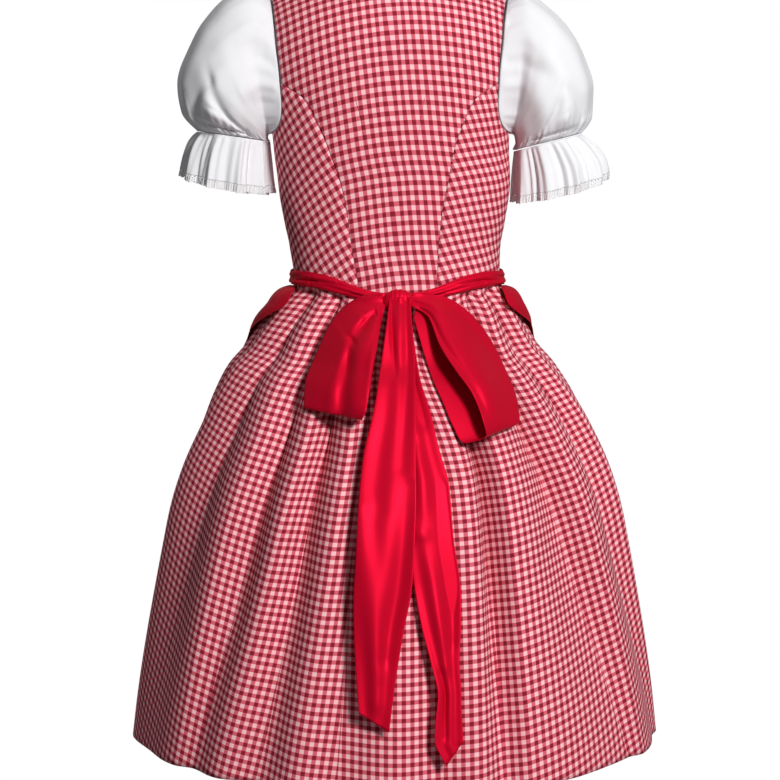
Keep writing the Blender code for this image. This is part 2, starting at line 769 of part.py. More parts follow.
def make_bodice():
    """Makes the seven panels of the bodice."""
    back_arm = armhole_edge(180.0, JUNCTION_TURN, ARM_ROWS, False)
    front_arm = armhole_edge(180.0, JUNCTION_TURN, ARM_ROWS, True)
    back_seam = drawn_edge(BACK_SEAM, SEAM_ROWS, False)
    front_seam = drawn_edge(FRONT_SEAM, SEAM_ROWS, True)
    back_seam[0] = back_arm[-1]
    front_seam[0] = front_arm[-1]
    back_seam[-1] = waist_edge(back_seam[-1][0], 90.0, 1)[0]
    front_seam[-1] = waist_edge(front_seam[-1][0], 90.0, 1)[0]

    back_edge = seam_shifted(back_arm + back_seam[1:], -SEAM_ANGLE)
    top = neck_and_shoulders(BACK_NECKLINE, False)
    bottom = waist_edge(-back_edge[-1][0], back_edge[-1][0], BACK_COLUMNS)
    top[0], top[-1] = mirrored(back_edge)[0], back_edge[0]
    bodice_piece("bodice_back", (mirrored(back_edge), back_edge, top, bottom), 1)

    underarm = torso_place(*armhole(0.0, False), False)[1]
    waist_side = waist_edge(90.0, 90.0, 1)[0][1]
    for name, side in (("left", 1), ("right", -1)):
        start = seam_shifted(back_seam, SEAM_ANGLE)
        end = straight_edge((90.0 - SEAM_ANGLE, underarm), (90.0 - SEAM_ANGLE, waist_side), SEAM_ROWS)
        top = armhole_edge(JUNCTION_TURN, 0.0, SIDE_COLUMNS, False)
        top[0], top[-1] = start[0], end[0]
        bottom = waist_edge(start[-1][0], end[-1][0], SIDE_COLUMNS)
        bodice_piece(f"bodice_side_back_{name}", (start, end, top, bottom), side)

        start = straight_edge((90.0 + SEAM_ANGLE, underarm), (90.0 + SEAM_ANGLE, waist_side), SEAM_ROWS)
        end = seam_shifted(front_seam, -SEAM_ANGLE)
        top = armhole_edge(0.0, JUNCTION_TURN, SIDE_COLUMNS, True)
        top[0], top[-1] = start[0], end[0]
        bottom = waist_edge(start[-1][0], end[-1][0], SIDE_COLUMNS)
        bodice_piece(f"bodice_side_front_{name}", (start, end, top, bottom), side)

        start = seam_shifted(front_arm + front_seam[1:], SEAM_ANGLE)
        lap = side * LAP_ANGLE + SEAM_ANGLE
        centre_edge = drawn_edge(FRONT_NECKLINE, ARM_ROWS + 2, True)
        centre_edge[-1] = (180.0 - lap, centre_edge[-1][1])
        waist_centre = waist_edge(180.0 - lap, 180.0, 1)[0]
        rest = straight_edge(centre_edge[-1], waist_centre, SEAM_ROWS - 2)
        end = centre_edge + rest[1:]
        top = straight_edge(start[0], end[0], FRONT_COLUMNS)
        bottom = waist_edge(start[-1][0], end[-1][0], FRONT_COLUMNS)
        bodice_piece(f"bodice_front_{name}", (start, end, top, bottom), side)


def make_blouse_body():
    """Makes the cropped body of the blouse, inside the bodice."""
    for name, neckline in BLOUSE_NECKLINES.items():
        front = name == "front"
        arm = armhole_edge(180.0, 0.0, BLOUSE_ARM_ROWS, front)
        side = 90.0 + (SEAM_ANGLE if front else -SEAM_ANGLE)
        hem = waist_down(side, BLOUSE_HEM)
        seam = straight_edge((side, arm[-1][1]), (side, hem), BLOUSE_SIDE_ROWS)
        edge = arm[:-1] + seam
        other = [(360.0 - angle if front else -angle, down) for angle, down in edge]
        start, end = (edge, other) if front else (other, edge)
        top = neck_and_shoulders(neckline, front)
        top[0], top[-1] = start[0], end[0]
        bottom = straight_edge(start[-1], end[-1], BACK_COLUMNS)
        bodice_piece(f"blouse_{name}", (start, end, top, bottom), 1, "cotton", -BLOUSE_INSIDE)


def make_buttons():
    """Makes the buttons down the lapped front edge."""
    for number in range(BUTTON_COUNT):
        height = BUTTON_TOP - BUTTON_PITCH * number
        _, down = torso_place(0.0, height, True)
        seat = torso(180.0, down)
        below = torso(180.0, down + BUTTON_SLOPE_STEP)
        facing = (below - seat).cross(Vector((1.0, 0.0, 0.0))).normalized()
        if facing.y > 0.0:
            facing = -facing
        button = bmesh.new()
        bmesh.ops.create_cone(
            button,
            cap_ends=True,
            segments=BUTTON_SEGMENTS,
            radius1=BUTTON_RADIUS,
            radius2=BUTTON_RADIUS * BUTTON_FACE_SHARE,
            depth=BUTTON_THICKNESS,
        )
        turn = facing.to_track_quat("Z", "Y").to_matrix()
        bmesh.ops.rotate(button, verts=button.verts, matrix=turn)
        lift = COTTON_WALL + SEAM + BUTTON_THICKNESS / 2
        bmesh.ops.translate(button, verts=button.verts, vec=seat + facing * lift)
        add_object(f"button_{number + 1}", button, "button")


def line_angle(number, share, fall):
    """Angle between a numbered ridge or valley and the next one, counted round the skirt."""
    lines = fold_lines(fall)[:-1]
    count = len(lines)

    def angle(index):
        return lines[index % count][0] + 360.0 * (index // count)

    return mix(angle(number), angle(number + 1), share)


def make_skirt():
    """Makes the four skirt widths, with a column on each ridge, each valley and between."""
    rows = len(SKIRT_ROWS) - 1
    for panel in SKIRT_PANELS:
        first_line = 2 * panel.first_fold + 1
        columns = 2 * (2 * panel.last_fold + 1 - first_line)

        def place(across, down, first_line=first_line, columns=columns):
            fall = SKIRT_ROWS[round(down * rows)]
            step = round(across * columns)
            angle = line_angle(first_line + step // 2, (step % 2) / 2, fall)
            seam = math.degrees(SKIRT_SEAM / 2 / between(SKIRT_RINGS, fall).half_width)
            if step == 0:
                angle += seam
            elif step == columns:
                angle -= seam
            return skirt(angle, fall)

        sheet(panel.name, columns, rows, place, "gingham", COTTON_WALL)


def band_edge(angle, side):
    """Height of the waistband's upper (1) or lower (-1) edge, which runs into the ties."""
    front = max(0.0, -math.cos(math.radians(angle)))
    half_height = mix(TIE_HALF_HEIGHT, BAND_HALF_HEIGHT, min(1.0, 2.0 * front))
    return tie_height(angle) + side * half_height


def apron(across, share, out=0.0):
    """Point of the apron's panel, by its shares across from the left edge and down."""
    edge = between(APRON_EDGES, share)
    angle = mix(edge.left, 360.0 - edge.right, across)
    top = skirt_fall(angle, band_edge(angle, -1) - APRON_TOP_GAP)
    wave = 0.5 - 0.5 * math.cos(2.0 * math.pi * APRON_FOLDS * across)
    inside = clamp(min(across, 1.0 - across) * APRON_FOLDS / 1.5, 0.3, 1.0)
    grown = clamp(share / 0.06) * mix(1.0, 0.75, share) * inside
    stand_off = mix(edge.left_out, edge.right_out, across) + out
    stand_off += APRON_FOLD_HEIGHT * wave * grown
    point = skirt(angle, mix(top, APRON_HEM, share), stand_off, 0.0)
    rise = clamp(share / APRON_PUFF_SHARE)
    point.z += APRON_PUFF * 4.0 * rise * (1.0 - rise)
    return point


def make_apron():
    """Makes the apron's panel and its waistband."""
    rows = len(APRON_ROWS) - 1

    def panel_place(across, down):
        return apron(across, APRON_ROWS[round(down * rows)])

    def band_place(across, down):
        angle = mix(TIE_END_SIDE + SEAM_ANGLE, 360.0 - TIE_END_SIDE - SEAM_ANGLE, across)
        height = mix(band_edge(angle, 1), band_edge(angle, -1), down)
        return around_waist(angle, height, COTTON_WALL + TIE_CLEAR)

    sheet("apron_panel", 4 * APRON_FOLDS, rows, panel_place, "satin", SATIN_WALL)
    sheet("apron_waistband", BAND_COLUMNS, BAND_ROWS, band_place, "satin", BAND_WALL)


def tie_height(angle):
    """Height of the middle of the ties, which dip into the bow."""
    return TIE_HEIGHT - TIE_DIP * max(0.0, math.cos(math.radians(angle))) ** 7


def make_ties():
    """Makes the two ties from the waistband's ends to the bow."""
    for name, side in (("left", 1), ("right", -1)):

        def place(across, down, side=side):
            share = across if side > 0 else 1.0 - across
            angle = mix(TIE_END_BACK, TIE_END_SIDE, share)
            middle = tie_height(angle)
            height = middle + TIE_HALF_HEIGHT * (1.0 - 2.0 * down)
            crumple = TIE_CRUMPLE * (1.0 - math.cos(4.0 * math.pi * down))
            return around_waist(side * angle, height, COTTON_WALL + TIE_CLEAR + crumple)

        sheet(f"tie_{name}", TIE_COLUMNS, BAND_ROWS, place, "satin", BAND_WALL)


def make_knot():
    """Makes the small knot, with grooves where the ribbon wraps round it."""
    knot = bmesh.new()
    bmesh.ops.create_uvsphere(knot, u_segments=16, v_segments=8, radius=0.5)
    for vertex in knot.verts:
        groove = 1.0 - KNOT_GROOVE * math.cos(KNOT_WRAPS * math.pi * vertex.co.x) ** 2
        vertex.co = Vector(
            (
                KNOT_CENTRE.x + KNOT_SIZE.x * vertex.co.x,
                KNOT_CENTRE.y + KNOT_SIZE.y * vertex.co.y * groove,
                KNOT_CENTRE.z + KNOT_SIZE.z * vertex.co.z * groove,
            )
        )
    add_object("bow_knot", knot, "satin")


def make_loop(bow):
    """Makes one loop: the ribbon runs out over it, turns at its end and runs back below."""

    def place(across, down):
        row = between(bow.loop, down)
        offset = 2.0 * across - 1.0
        if row.outer_across < row.inner_across:
            offset = -offset
        share = 0.5 + 0.5 * offset
        upper = clamp(2.0 - 4.0 * abs(down - 0.25))
        fold = LOOP_FOLD * math.cos(3.0 * math.pi * offset) * upper
        crown = 1.0 - LOOP_CROWN * offset ** 2 * upper
        out = COTTON_WALL + SEAM + row.stand_off * crown + fold
        return lie_on_skirt(
            mix(row.outer_across, row.inner_across, 1.0 - share),
            mix(row.outer_height, row.inner_height, 1.0 - share),
            out,
        )

    sheet(f"bow_loop_{bow.name}", LOOP_COLUMNS, LOOP_ROWS, place, "satin", SATIN_WALL)


def make_tail(bow):
    """Makes one tail, which hangs down the skirt's centre back."""

    def place(across, down):
        drop = mix(bow.tail[0].drop, bow.tail[-1].drop, down)
        row = between(bow.tail, drop)
        offset = 2.0 * across - 1.0
        fold = TAIL_FOLD * math.cos(2.5 * math.pi * offset)
        out = COTTON_WALL + SEAM + row.stand_off + fold
        return lie_on_skirt(row.centre + row.half_width * offset, row.slant * -offset - drop, out)

    sheet(f"bow_tail_{bow.name}", TAIL_COLUMNS, TAIL_ROWS, place, "satin", SATIN_WALL)


def make_bow():
    """Makes the knot and the bow's loops and tails, which lie on the skirt."""
    make_knot()
    for bow in BOWS:
        make_loop(bow)
        make_tail(bow)


def ring_point(ring, turn, sag=0.0, gathered=0.0):
    """Point of a sleeve ring; the turn runs from the outer point round the back."""
    lean = 0.5 + 0.5 * math.cos(turn)
    across = mix(ring.inner_across, ring.outer_across, lean)
    height = mix(ring.inner_height, ring.outer_height, lean)
    depth = ring.half_depth * math.sin(turn)
    middle = Vector(
        (
            (ring.inner_across + ring.outer_across) / 2,
            0.0,
            (ring.inner_height + ring.outer_height) / 2,
        )
    )
    point = Vector((across, depth, height - sag * abs(math.sin(turn))))
    away = (point - middle).normalized()
    return point + away * (ring.gather * gathered)


def root_point(side, turn):
    """Point of the sleeve's first ring, just inside and clear of the bodice's armhole."""
    front = math.sin(turn) < 0.0
    across, height = armhole(180.0 - abs(math.degrees(math.remainder(turn, 2 * math.pi))), front)
    angle, down = torso_place(across, height, front)
    edge = torso(angle, down)
    middle_height = (ARMHOLE_BOTTOM - SHOULDER_DROP) / 2
    centre = edge.x - across
    return Vector(
        (
            centre + side * (across + ROOT_CLEAR),
            edge.y * ROOT_SHRINK,
            middle_height + (height - middle_height) * ROOT_SHRINK,
        )
    )


def make_sleeves():
    """Makes the puff sleeves with their frills and lace."""
    columns = GATHERS * COLUMNS_A_GATHER
    for name, side in (("left", 1), ("right", -1)):
        rings = SLEEVE_RINGS[name]
        frills = FRILL_RINGS[name]

        def turn_at(across, side=side):
            return 2.0 * math.pi * across * side

        def sleeve_place(across, down, side=side, rings=rings, turn_at=turn_at):
            turn = turn_at(across)
            number = round(down * len(rings))
            if number == 0:
                return root_point(side, turn)
            return ring_point(rings[number - 1], turn, 0.0, math.cos(GATHERS * turn))

        def frill_place(across, down, frills=frills, turn_at=turn_at):
            turn = turn_at(across)
            number = round(down * (FRILL_CLOTH_RINGS - 1))
            sag = FRILL_SAG * number / FRILL_CLOTH_RINGS
            return ring_point(frills[number], turn, sag, math.cos(GATHERS * turn))

        def lace_place(across, down, frills=frills, turn_at=turn_at):
            turn = turn_at(across)
            number = FRILL_CLOTH_RINGS - 1 + round(down)
            sag = FRILL_SAG * number / FRILL_CLOTH_RINGS
            point = ring_point(frills[number], turn, sag, math.cos(GATHERS * turn))
            scallop = SCALLOP_DEPTH * math.cos(turn * columns / 2) * down
            point.z -= scallop + 2.0 * SEAM * (1.0 - down)
            return point

        sheet(f"sleeve_{name}", columns, len(rings), sleeve_place, "cotton", SATIN_WALL, True)
        sheet(f"cuff_frill_{name}", columns, FRILL_CLOTH_RINGS - 1, frill_place, "cotton", SATIN_WALL, True)
        sheet(f"cuff_lace_{name}", columns, 1, lace_place, "lace", SATIN_WALL, True)


def main():
    """Clears the scene and makes every piece."""
    for old in list(bpy.data.objects):
        bpy.data.objects.remove(old)
    collection = bpy.data.collections.new(COLLECTION_NAME)
    bpy.context.scene.collection.children.link(collection)
    make_bodice()
    make_blouse_body()
    make_buttons()
    make_skirt()
    make_apron()
    make_ties()
    make_bow()
    make_sleeves()


main()
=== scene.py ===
"""Dirndl dress with its blouse and tied apron: cloth, folds and finishes, with light and camera.

Metres, +Z up. The front faces -Y, the wearer's left is +X, and the camera looks at the back.
Angles run round the body in degrees: 0 at the centre back, 90 at the wearer's left side.
"""

import bisect
import functools
import logging
import math
from dataclasses import dataclass
from enum import Enum
from typing import Callable, NamedTuple, Sequence

import bmesh
import bpy
from mathutils import Matrix, Vector, noise

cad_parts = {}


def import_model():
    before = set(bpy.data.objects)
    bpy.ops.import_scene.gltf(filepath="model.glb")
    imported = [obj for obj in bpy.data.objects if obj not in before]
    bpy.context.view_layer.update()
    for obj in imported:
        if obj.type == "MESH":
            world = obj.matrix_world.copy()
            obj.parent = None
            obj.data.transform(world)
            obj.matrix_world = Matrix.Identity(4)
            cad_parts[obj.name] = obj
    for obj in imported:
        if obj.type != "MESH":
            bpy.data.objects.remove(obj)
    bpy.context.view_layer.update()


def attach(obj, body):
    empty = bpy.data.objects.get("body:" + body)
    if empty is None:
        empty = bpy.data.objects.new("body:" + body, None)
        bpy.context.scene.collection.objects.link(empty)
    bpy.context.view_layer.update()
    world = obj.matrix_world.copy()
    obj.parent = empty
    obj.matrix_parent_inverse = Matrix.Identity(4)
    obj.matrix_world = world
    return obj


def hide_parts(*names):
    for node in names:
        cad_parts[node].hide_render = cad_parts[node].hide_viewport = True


LOG = logging.getLogger("dirndl")
BODY = "root"
PHOTO_PIXELS = 780

COTTON_WALL = 0.0010
SATIN_WALL = 0.0008
SEAM = 0.0004

Place = Callable[[float, float], Vector]
Pattern = Callable[[float, float], tuple[float, float]]
Edge = list[tuple[float, float]]


class Side(Enum):
    """A side of the wearer, with its sign along X."""

    LEFT = 1
    RIGHT = -1

    @property
    def label(self) -> str:
        """The side's word in a piece's name."""
        return self.name.lower()


class Hold(Enum):
    """How a sheet of cloth is held in its place."""

    DRAPED = "draped"
    GATHERED = "gathered"
    FOLDED = "folded"
    STRETCHED = "stretched"


class Cut(NamedTuple):
    """A sheet's flat size before it is sewn, and the pieces that it rests on."""

    width: float
    length: float
    hold: Hold
    rests_on: tuple[str, ...] = ()
    area: float = 0.0


class Crease(NamedTuple):
    """A soft ridge or trough between two points of a sheet, in shares across and down."""

    start_across: float
    start_down: float
    end_across: float
    end_down: float
    width: float
    height: float


def clamp(value: float, low: float = 0.0, high: float = 1.0) -> float:
    """Keeps a value between two limits."""
    return max(low, min(high, value))


def mix(start: float, end: float, share: float) -> float:
    """Goes a share of the way from one value to another."""
    return start + (end - start) * share


def ease(value: float, low: float = 0.0, high: float = 1.0) -> float:
    """Rises smoothly from 0 to 1 between two limits."""
    share = clamp((value - low) / (high - low))
    return share * share * (3.0 - 2.0 * share)


def curve(places: Sequence[float], values: Sequence[float], place: float) -> float:
    """Reads a column of values at a place, on a smooth curve with no overshoot.

    Args:
        places: Rising places of the values.
        values: One value for each place.
        place: Where to read.

    Returns:
        The value there.
    """
    if place <= places[0]:
        return values[0]
    if place >= places[-1]:
        return values[-1]
    index = bisect.bisect_right(places, place) - 1

    def secant(number: int) -> float:
        """Slope of one stretch."""
        return (values[number + 1] - values[number]) / (places[number + 1] - places[number])

    def slope(number: int) -> float:
        """Slope at one place."""
        if number == 0:
            return secant(0)
        if number == len(places) - 1:
            return secant(number - 1)
        before, after = secant(number - 1), secant(number)
        if before * after <= 0.0:
            return 0.0
        return 2.0 * before * after / (before + after)

    step = places[index + 1] - places[index]
    share = (place - places[index]) / step
    square, cube = share ** 2, share ** 3
    return (
        (2 * cube - 3 * square + 1) * values[index]
        + (cube - 2 * square + share) * step * slope(index)
        + (3 * square - 2 * cube) * values[index + 1]
        + (cube - square) * step * slope(index + 1)
    )


def between(rows: Sequence[NamedTuple], place: float) -> NamedTuple:
    """Reads every column of a table between its rows; the first column is the place."""
    places = [row[0] for row in rows]
    return type(rows[0])(*(curve(places, column, place) for column in zip(*rows)))


def even_steps(start: float, end: float, steps: int) -> list[float]:
    """Evenly spaced values from one to another."""
    return [mix(start, end, step / steps) for step in range(steps + 1)]


def table(kind: type[NamedTuple], *rows: tuple[float, ...]) -> tuple:
    """Rows of numbers under a kind's named columns."""
    return tuple(kind(*row) for row in rows)


def flat(width: float, length: float) -> Pattern:
    """Pattern of a plain rectangle of cloth."""
    return lambda across, down: (across * width, down * length)


def crease_height(
    creases: Sequence[Crease], across: float, down: float, shape: tuple[float, float]
) -> float:
    """Adds up the ridges and troughs at a place of a sheet.

    Args:
        creases: The sheet's creases.
        across: Share across the sheet.
        down: Share down the sheet.
        shape: The sheet's size across and down, in metres.

    Returns:
        Height above the plain sheet, in metres.
    """
    total = 0.0
    width, length = shape
    for crease in creases:
        start_x, start_y = crease.start_across * width, crease.start_down * length
        run_x = crease.end_across * width - start_x
        run_y = crease.end_down * length - start_y
        off_x, off_y = across * width - start_x, down * length - start_y
        along = clamp((off_x * run_x + off_y * run_y) / (run_x ** 2 + run_y ** 2))
        distance = math.hypot(off_x - along * run_x, off_y - along * run_y)
        taper = 0.35 + 0.65 * math.sin(math.pi * clamp(along, 0.08, 0.92))
        total += crease.height * taper * math.exp(-((distance / crease.width) ** 2))
    return total


def ripple(point: Vector, size: float, seed: float = 0.0) -> float:
    """Soft noise from -1 to 1 with a wave size in metres."""
    return noise.noise(point / size + Vector((seed, 1.7 * seed, -seed)))


class TorsoRing(NamedTuple):
    """One level of the figure, at its height."""

    height: float
    half_width: float
    back_depth: float
    front_depth: float
    centre: float


class SkirtRing(NamedTuple):
    """One level of the skirt, at its share of the fall from the waist seam to the hem."""

    fall: float
    half_width: float
    centre: float


class Fold(NamedTuple):
    """A skirt fold: the ridge's and the next valley's angles, and the valley's depth."""

    ridge_waist: float
    ridge_mid: float
    ridge_hem: float
    valley_waist: float
    valley_mid: float
    valley_hem: float
    depth_waist: float
    depth_mid: float
    depth_hem: float


TORSO_RINGS = table(
    TorsoRing,
    (-0.430, 0.1330, 0.099, 0.104, 0.0000),
    (-0.398, 0.1320, 0.098, 0.103, 0.0005),
    (-0.351, 0.1358, 0.095, 0.107, 0.0036),
    (-0.325, 0.1410, 0.095, 0.110, 0.0040),
    (-0.273, 0.1490, 0.097, 0.114, 0.0045),
    (-0.234, 0.1510, 0.099, 0.115, 0.0078),
    (-0.208, 0.1525, 0.100, 0.114, 0.0090),
    (-0.144, 0.1660, 0.101, 0.108, 0.0105),
    (-0.090, 0.1720, 0.099, 0.100, 0.0110),
    (0.010, 0.1760, 0.097, 0.094, 0.0115),
)


@dataclass(frozen=True)
class Figure:
    """The worn form that the bodice and the blouse follow."""

    squareness: float = 2.4
    dome_radius: float = 0.10
    neck_half_width: float = 0.070
    shoulder_half_width: float = 0.1525
    shoulder_drop: float = 0.033
    bust_proud: float = 0.016
    bust_across: float = 0.082
    bust_height: float = -0.248
    bust_spread: float = 0.052
    armhole_bottom: float = -0.208
    armhole_inset_back: float = 0.030
    armhole_inset_front: float = 0.036
    waist_side: float = -0.394
    waist_dip_back: float = 0.0180
    waist_dip_front: float = 0.006
    rings: tuple[TorsoRing, ...] = TORSO_RINGS

    def spread(self, value: float, squareness: float = 0.0) -> float:
        """Turns a sine or cosine into the coordinate of a squared ring."""
        return math.copysign(abs(value) ** (2.0 / (squareness or self.squareness)), value)

    def shoulder_height(self, across: float) -> float:
        """Height of the shoulder line at a distance from the middle."""
        return -self.shoulder_drop * clamp(abs(across) / self.shoulder_half_width, 0.0, 1.15) ** 2

    def bust(self, across: float, height: float) -> float:
        """How far the front stands out over the figure's plain ring."""
        spread = 2.0 * self.bust_spread ** 2
        rise = (height - self.bust_height) ** 2
        return sum(
            self.bust_proud * math.exp(-((across - sign * self.bust_across) ** 2 + rise) / spread)
            for sign in (-1, 1)
        )

    def torso(self, angle: float, down: float, out: float = 0.0) -> Vector:
        """Point of the worn bodice.

        Args:
            angle: Angle round the body in degrees.
            down: Way down from the shoulder line.
            out: How far the point lies outside the plain form.

        Returns:
            The point.
        """
        sine, cosine = math.sin(math.radians(angle)), math.cos(math.radians(angle))
        arch = min(down / self.dome_radius, math.pi / 2)
        drop = self.dome_radius * (1.0 - math.cos(arch))
        drop += max(0.0, down - self.dome_radius * math.pi / 2)
        height = -drop
        for _ in range(3):
            ring = between(self.rings, height)
            across = (ring.half_width + out) * self.spread(sine)
            height = self.shoulder_height(across) - drop + out * math.cos(arch)
        if cosine >= 0.0:
            depth = ring.back_depth + out
        else:
            depth = ring.front_depth + out + self.bust(across, height)
        return Vector((ring.centre + across, depth * self.spread(cosine) * math.sin(arch), height))

    def torso_place(self, across: float, height: float, front: bool) -> tuple[float, float]:
        """Angle and way down of a point given by its place across and its height."""
        drop = self.shoulder_height(across) - height
        if drop < self.dome_radius:
            down = self.dome_radius * math.acos(clamp(1.0 - drop / self.dome_radius, -1.0, 1.0))
        else:
            down = drop + self.dome_radius * (math.pi / 2 - 1.0)
        ratio = clamp(abs(across) / between(self.rings, height).half_width)
        angle = math.degrees(math.asin(ratio ** (self.squareness / 2.0)))
        return (180.0 - angle if front else angle), max(down, SEAM)

    def waist_height(self, angle: float) -> float:
        """Height of the waist seam, which dips at the centre back."""
        cosine = math.cos(math.radians(angle))
        dip = self.waist_dip_back if cosine > 0.0 else self.waist_dip_front
        return self.waist_side - dip * abs(cosine) ** 1.5

    def waist_down(self, angle: float, height: float) -> float:
        """Way down from the shoulder line to a height near the waist."""
        ring = between(self.rings, height)
        across = ring.half_width * self.spread(math.sin(math.radians(angle)))
        return self.shoulder_height(across) - height + self.dome_radius * (math.pi / 2 - 1.0)

    def armhole(self, turn: float, front: bool) -> tuple[float, float]:
        """Point of the armhole across and up; 0 is the underarm and 180 the shoulder's tip."""
        middle = (self.armhole_bottom - self.shoulder_drop) / 2
        half_height = (-self.shoulder_drop - self.armhole_bottom) / 2
        height = middle - half_height * math.cos(math.radians(turn))
        inset = self.armhole_inset_front if front else self.armhole_inset_back
        inset *= math.sin(math.radians(turn))
        if turn > 90.0:
            tip = between(self.rings, -self.shoulder_drop).half_width - self.shoulder_half_width
            inset += tip * (1.0 - math.sin(math.radians(turn)))
        return between(self.rings, height).half_width - inset, height

    def armhole_edge(self, start: float, end: float, steps: int, front: bool) -> Edge:
        """Angles and ways down along a stretch of the armhole."""
        turns = even_steps(start, end, steps)
        return [self.torso_place(*self.armhole(turn, front), front) for turn in turns]

    def drawn_edge(self, points: Sequence[tuple[float, float]], steps: int, front: bool) -> Edge:
        """Angles and ways down along a curve through points across and up, evenly spaced."""
        laid = [self.torso(*self.torso_place(*point, front)) for point in points]
        reach = [0.0]
        for first, second in zip(laid, laid[1:]):
            reach.append(reach[-1] + math.dist(first, second))
        across, heights = zip(*points)
        places = [reach[-1] * step / steps for step in range(steps + 1)]
        return [
            self.torso_place(curve(reach, across, place), curve(reach, heights, place), front)
            for place in places
        ]

    def waist_edge(self, start: float, end: float, steps: int) -> Edge:
        """Angles and ways down along the waist seam."""
        angles = even_steps(start, end, steps)
        return [(angle, self.waist_down(angle, self.waist_height(angle))) for angle in angles]


SKIRT_RINGS = table(
    SkirtRing,
    (0.000, 0.1320, 0.0000),
    (0.012, 0.1335, 0.0000),
    (0.030, 0.1440, 0.0010),
    (0.052, 0.1550, 0.0025),
    (0.096, 0.1725, 0.0060),
    (0.140, 0.1895, 0.0075),
    (0.184, 0.2130, 0.0075),
    (0.249, 0.2375, 0.0050),
    (0.315, 0.2565, 0.0030),
    (0.402, 0.2785, 0.0025),
    (0.490, 0.2940, 0.0025),
    (0.577, 0.3045, 0.0025),
    (0.687, 0.3165, 0.0025),
    (0.796, 0.3275, 0.0025),
    (0.906, 0.3370, 0.0025),
    (1.000, 0.3435, 0.0025),
)


SKIRT_FOLDS = table(
    Fold,
    (-180.0, -180.0, -180.0, -169.0, -170.0, -171.0, 0.005, 0.009, 0.006),
    (-158.0, -160.0, -162.0, -148.0, -150.0, -152.0, 0.005, 0.010, 0.007),
    (-137.0, -140.0, -143.0, -126.0, -130.0, -134.0, 0.005, 0.011, 0.007),
    (-115.0, -120.0, -125.0, -105.0, -112.0, -118.0, 0.005, 0.012, 0.007),
    (-95.0, -104.0, -110.0, -82.0, -95.0, -101.0, 0.005, 0.012, 0.007),
    (-67.0, -79.0, -92.0, -61.0, -72.5, -84.0, 0.014, 0.026, 0.008),
    (-46.0, -53.5, -66.0, -41.0, -49.3, -61.0, 0.012, 0.037, 0.010),
    (-24.0, -28.8, -29.0, -20.0, -26.0, -24.5, 0.006, 0.039, 0.018),
    (-11.0, -18.5, -17.0, -6.0, -9.0, -9.5, 0.004, 0.013, 0.010),
    (0.0, 0.0, 0.0, 6.0, 10.0, 12.5, 0.004, 0.015, 0.012),
    (11.0, 14.0, 21.0, 18.0, 24.0, 31.0, 0.010, 0.034, 0.018),
    (22.0, 27.5, 40.0, 32.0, 38.5, 49.0, 0.015, 0.030, 0.009),
    (39.0, 45.0, 54.0, 54.0, 61.0, 68.0, 0.015, 0.022, 0.006),
    (66.0, 78.0, 86.0, 78.0, 91.0, 97.0, 0.005, 0.014, 0.007),
    (92.0, 102.0, 108.0, 104.0, 111.0, 117.0, 0.005, 0.012, 0.007),
    (115.0, 120.0, 125.0, 126.0, 130.0, 134.0, 0.005, 0.011, 0.007),
    (137.0, 140.0, 143.0, 148.0, 150.0, 152.0, 0.005, 0.010, 0.007),
    (158.0, 160.0, 162.0, 169.0, 170.0, 171.0, 0.005, 0.009, 0.006),
)


@dataclass(frozen=True)
class SkirtForm:
    """The bell of the skirt with its unpressed pleats."""

    figure: Figure
    waist_gap: float = 0.0012
    hem: float = -0.987
    hem_dip_back: float = 0.017
    waist_back: float = 0.0980
    waist_front: float = 0.1030
    spread_back: float = 0.92
    spread_front: float = 0.80
    round_by: float = 0.15
    levels: tuple[float, ...] = (0.05, 0.40, 1.00)
    rings: tuple[SkirtRing, ...] = SKIRT_RINGS
    folds: tuple[Fold, ...] = SKIRT_FOLDS

    def top(self, angle: float) -> float:
        """Height of the skirt's upper edge, just below the waist seam."""
        return self.figure.waist_height(angle) - self.waist_gap

    def bottom(self, angle: float) -> float:
        """Height of the hem, which dips at the back as the waist seam does."""
        return self.hem - self.hem_dip_back * max(0.0, math.cos(math.radians(angle))) ** 2

    def fall_at(self, angle: float, height: float) -> float:
        """Share of the fall from waist to hem at a height."""
        top = self.top(angle)
        return clamp((top - height) / (top - self.bottom(angle)))

    def place(self, angle: float, fall: float, out: float = 0.0) -> Vector:
        """Point on the line over the ridges, or out from it.

        Args:
            angle: Angle round the body in degrees.
            fall: Share of the fall from waist to hem.
            out: How far the point lies outside that line.

        Returns:
            The point.
        """
        ring = between(self.rings, fall)
        sine, cosine = math.sin(math.radians(angle)), math.cos(math.radians(angle))
        wider = ring.half_width - self.rings[0].half_width
        if cosine >= 0.0:
            depth = self.waist_back + self.spread_back * wider
        else:
            depth = self.waist_front + self.spread_front * wider
        squareness = mix(self.figure.squareness, 2.0, clamp(fall / self.round_by))
        across = ring.half_width * self.figure.spread(sine, squareness)
        forward = depth * self.figure.spread(cosine, squareness)
        radius = math.hypot(across, forward)
        scale = (radius + out) / radius
        height = mix(self.top(angle), self.bottom(angle), fall)
        return Vector((ring.centre + across * scale, forward * scale, height))

    def lie(self, across: float, height: float, out: float) -> Vector:
        """Point at a place across the back and a height, out from the line over the ridges."""
        angle = 0.0
        for _ in range(4):
            fall = self.fall_at(angle, height)
            ring = between(self.rings, fall)
            ratio = clamp((across - ring.centre) / (ring.half_width + out), -0.95, 0.95)
            angle = math.degrees(math.asin(ratio))
        return Vector((across, self.place(angle, fall, out).y, height))

    def around_waist(self, angle: float, height: float, out: float) -> Vector:
        """Point that lies out from the bodice above the waist seam and the skirt below it."""
        top = self.figure.waist_height(angle)
        down = self.figure.waist_down(angle, max(height, top))
        bodice = self.figure.torso(angle, down, out)
        if height >= top:
            return bodice
        below = self.place(angle, self.fall_at(angle, height), out)
        return Vector((below.x, below.y, height))


